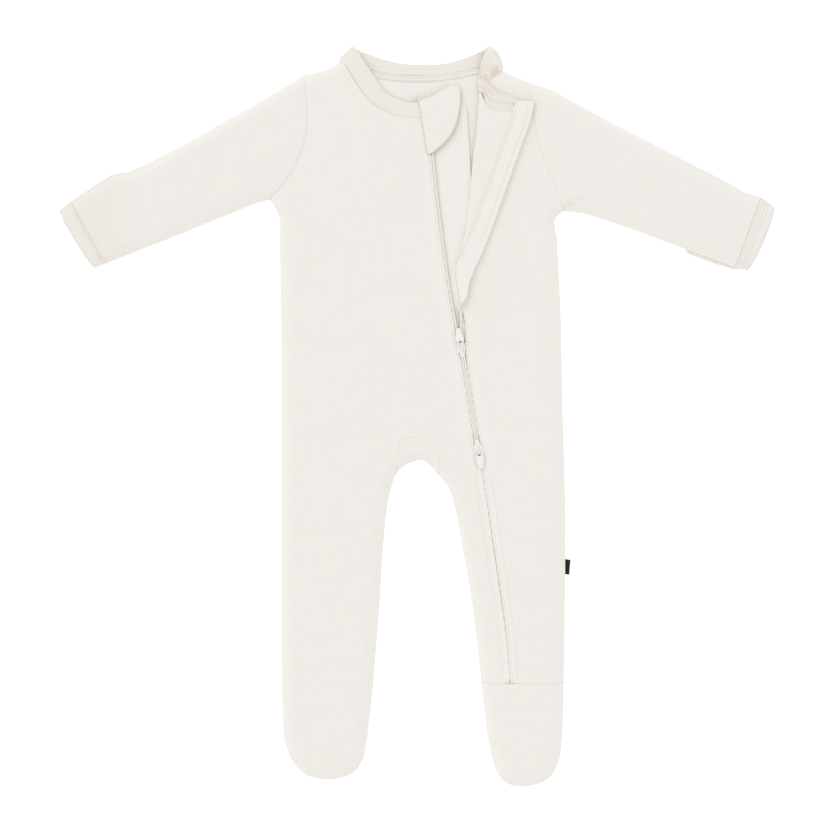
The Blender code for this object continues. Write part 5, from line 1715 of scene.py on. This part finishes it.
def make_coil(side, name, place, looks):
    """One half of the coil: turns of nylon wire round a cord."""
    first = ZIP_END_Y + 0.5 + (0.5 * COIL_PITCH if side > 0 else 0.0)
    ys = np.arange(first, TAPE_TOP_Y, COIL_PITCH)
    edge, drop = coil_line(side, ys), coil_drop(ys)
    low = -0.5 * WALL
    loop = [(1.44, 0.30, -0.25), (1.0, 0.25, -0.1), (0.42, 0.3, 0.0), (0.16, 0.6, 0.05),
            (0.42, 0.9, 0.1), (0.95, 1.0, 0.25), (1.36, 0.86, 0.4), (1.46, 0.5, 0.5)]
    points, faces = [], []
    centres = np.array([place(np.column_stack([edge + side * w, ys + dy]), low - drop + h)
                        for w, h, dy in loop])
    for i in range(len(ys)):
        line = centres[:, i]
        ahead = headings(line)
        sideways = np.cross(ahead, [0.0, 1.0, 0.15])
        sideways /= np.maximum(np.linalg.norm(sideways, axis=1), 1e-6)[:, None]
        other = np.cross(ahead, sideways)
        start = len(points)
        for k in range(len(line)):
            radius = COIL_WIRE if k not in (2, 3, 4) else COIL_HEAD
            points += ring_of(line[k], sideways[k], other[k], radius)
        faces += ring_faces(len(line), len(AROUND), start)
    make_piece(f"coil_{name}_turns", points, faces, looks["coil"], node=f"coil_{name}",
               slot="coil")
    ys = heights_along(TAPE_TOP_Y, ZIP_END_Y)
    edge, drop = coil_line(side, ys), coil_drop(ys)
    section = [(-0.14, 0.15), (0.9, 0.1), (1.65, 0.2), (1.78, 0.5), (1.6, 0.9),
               (1.0, 1.08), (0.35, 0.95), (-0.14, 0.62)]
    grid = np.array([place(np.column_stack([edge + side * w, ys]), low - drop + h)
                     for w, h in section]).transpose(1, 0, 2)
    weave = np.column_stack([grid.reshape(-1, 3)[:, :2], np.zeros(grid.shape[0] * 8)])
    lattice(f"coil_{name}_cord", grid, looks["tape"], weave, slot="tape")


def rounded_plate(outline, axes, low, high, radius):
    """Points and faces of a plate with rounded edges over an outline."""
    origin, across, along, up = axes
    outline = closed(resample(np.concatenate([outline, outline[:1]]), 0.45))
    rings = [(low + radius * (1.0 - math.cos(t)), radius * (1.0 - math.sin(t)))
             for t in np.linspace(0.0, 0.5 * math.pi, 4)]
    rings += [(low + high - h, r) for h, r in rings[::-1]]
    points = []
    for h, r in rings:
        flat = inset(outline, r) if r > 1e-9 else outline
        points.append(origin + flat[:, :1] * across + flat[:, 1:] * along + h * up)
    return np.concatenate(points), ring_faces(len(rings), len(outline))


def mirrored(*right, first=0):
    """An outline from its right half, which runs up; first turns its list of points on."""
    left = np.array(right)[::-1] * (-1.0, 1.0)
    return np.roll(np.concatenate([left[-1:], right, left[:-1]]), first, axis=0)


def joined(parts):
    """One set of points and faces from several."""
    points, faces, start = [], [], 0
    for more, polygons in parts:
        points.append(more)
        faces += [[start + k for k in polygon] for polygon in polygons]
        start += len(more)
    return np.concatenate(points), faces


def make_slider(name, y, way, looks):
    """Two plates on a post, with a rib and a bridge that holds the pull on top."""
    axes = slider_axes(y, way)
    low, under, top = slider_levels(y)
    plate = mirrored((1.7, -8.7), (2.2, -5.4), (3.2, -2.6), (3.45, 2.2), (2.5, 3.5))
    post = mirrored((0.2, -0.6), (0.6, 1.0), (0.6, 3.2))
    rib = mirrored((0.55, -8.0), (0.7, -4.2))
    parts = [rounded_plate(plate, axes, under, top, 0.25),
             rounded_plate(plate, axes, low - 0.7, low, 0.2),
             rounded_plate(post, axes, low - 0.2, under + 0.2, 0.05),
             rounded_plate(rib, axes, top - 0.1, top + 0.28, 0.12)]
    origin, _, along, up = axes
    arch = mirrored((1.8, 2.0), (2.3, 1.5), (2.3, -0.2), (3.3, -0.2), (3.3, 2.1),
                    (2.4, 3.0), first=3)
    side = (origin + up * top, along, up, np.cross(along, up))
    parts.append(rounded_plate(arch, side, -0.75, 0.75, 0.22))
    make_piece(f"slider_{name}_body", *joined(parts), looks["metal"],
               node=f"slider_{name}", slot="slider")


def make_pull(name, y, way, looks):
    """A bar under the slider's bridge, two arms and a tapered tab with a raised middle."""
    origin, across, along, up = slider_axes(y, way)
    height = slider_levels(y)[2] + PULL_AXIS_RISE
    axes = (origin + up * height, across, along, up)
    arm = np.array([(1.15, -0.45), (2.2, -0.45), (2.4, 3.4), (3.2, 4.6), (1.2, 4.8)])
    bar = mirrored((2.1, -0.45), (2.1, 0.45))
    tab = mirrored((1.0, 4.35), (3.25, 4.7), (3.15, 7.0), (2.4, 11.6), (1.9, 14.1),
                   (1.1, 14.85), first=1)
    lip = mirrored((1.6, 6.2), (1.25, 10.8), (0.95, 12.8))
    parts = [rounded_plate(arm, axes, -PULL_HALF, PULL_HALF, 0.2),
             rounded_plate(arm[::-1] * (-1.0, 1.0), axes, -PULL_HALF, PULL_HALF, 0.2),
             rounded_plate(bar, axes, -PIN_HALF, PIN_HALF, 0.3),
             rounded_plate(tab, axes, -PULL_HALF, PULL_HALF, 0.25),
             rounded_plate(lip, axes, 0.3, 0.6, 0.12)]
    make_piece(f"pull_{name}_tab", *joined(parts), looks["metal"],
               node=f"pull_{name}", body=f"pull_{name}", slot="slider")


def make_label(looks):
    """A short ribbon folded in half, its ends caught in the side seam."""
    seam = float(column(LEGS, "left_outer", LABEL_Y)) + 0.1
    turn = np.linspace(-0.5, 0.5, 9) * math.pi
    straight = np.linspace(0.0, LABEL_REACH - LABEL_BEND, 9)

    def loop(radius):
        return np.concatenate([
            np.column_stack([straight[:-1], np.full(8, -radius)]),
            np.column_stack([straight[-1] + radius * np.cos(turn), radius * np.sin(turn)]),
            np.column_stack([straight[-2::-1], np.full(8, radius)])])

    section = np.concatenate([loop(LABEL_BEND), loop(LABEL_BEND - LABEL_WALL)[::-1]])
    ys = np.linspace(LABEL_Y - 0.5 * LABEL_LENGTH, LABEL_Y + 0.5 * LABEL_LENGTH, 16)
    grid = np.array([np.column_stack([
        seam + section[:, 0] * (0.66 + 0.016 * (y - LABEL_Y)), y - 0.12 * section[:, 0],
        WALL + 0.5 * GAP + section[:, 1] - 0.3 + 0.07 * section[:, 0]]) for y in ys])
    weave = np.column_stack([grid[..., 0].ravel(), grid[..., 1].ravel(),
                             np.zeros(grid[..., 0].size)])
    made = lattice("label_weave", grid, looks["label"], weave, node="label", slot="label")


# ---------------------------------------------------------------- stage

def make_stage():
    mesh = bpy.data.meshes.new("floor")
    mesh.from_pydata([(FLOOR_HALF * x, FLOOR_HALF * y, 0)
                      for x, y in ((-1, -1), (1, -1), (1, 1), (-1, 1))], [], [(0, 1, 2, 3)])
    floor = bpy.data.objects.new("floor", mesh)
    bpy.context.scene.collection.objects.link(floor)
    made, _, principled = shader("floor_white", 0.9, Specular_IOR_Level=0.0)
    principled.inputs["Base Color"].default_value = (FLOOR_GREY,) * 3 + (1.0,)
    principled.inputs["Emission Color"].default_value = (1.0, 1.0, 1.0, 1.0)
    principled.inputs["Emission Strength"].default_value = FLOOR_GLOW
    mesh.materials.append(made)


def make_lights():
    world = bpy.data.worlds.new("studio")
    bpy.context.scene.world = world
    world.use_nodes = True
    background = world.node_tree.nodes["Background"]
    background.inputs["Color"].default_value = (*LIGHT, 1.0)
    background.inputs["Strength"].default_value = FILL
    key = bpy.data.lights.new("key", "SUN")
    key.energy = KEY
    key.angle = math.radians(KEY_ANGLE)
    key.color = LIGHT
    lamp = bpy.data.objects.new("key", key)
    lamp.rotation_euler = Vector(KEY_TOWARDS).to_track_quat("Z", "Y").to_euler()
    bpy.context.scene.collection.objects.link(lamp)


def make_camera():
    camera = bpy.data.cameras.new("camera")
    camera.lens = LENS
    camera.sensor_width = SENSOR
    holder = bpy.data.objects.new("camera", camera)
    x, y = (PICTURE_CENTRE + SHIFT[:2]) * MM
    holder.location = (x, y, PICTURE_WIDTH * LENS / SENSOR + PICTURE_HEIGHT)
    bpy.context.scene.collection.objects.link(holder)
    bpy.context.scene.camera = holder


def main():
    looks = make_looks()
    make_stage()
    make_back(looks)
    make_front_right(looks)
    make_front_left(looks)
    make_foot_left(looks)
    make_gusset(looks)
    make_sleeve("right", RIGHT_SLEEVE, RIGHT_ARMHOLE_FINE, looks)
    make_sleeve("left", LEFT_SLEEVE, LEFT_ARMHOLE_FINE, looks)
    make_mitt("right", RIGHT_MITT, looks)
    make_mitt("left", LEFT_MITT, looks)
    make_neckband(looks)
    make_placket(looks)
    make_guard(looks)
    make_zip_half(-1, "right", place_front, looks)
    make_zip_half(1, "left", place_left, looks)
    make_seam_stitches(looks)
    make_hem_stitches("right", RIGHT_SLEEVE, looks)
    make_hem_stitches("left", LEFT_SLEEVE, looks)
    for name, y, way in zip(("top", "bottom"), SLIDERS["y"], SLIDERS["way"]):
        make_slider(name, y, way, looks)
        make_pull(name, y, way, looks)
    make_label(looks)
    make_lights()
    make_camera()
    bpy.context.scene.view_settings.view_transform = "Standard"


main()
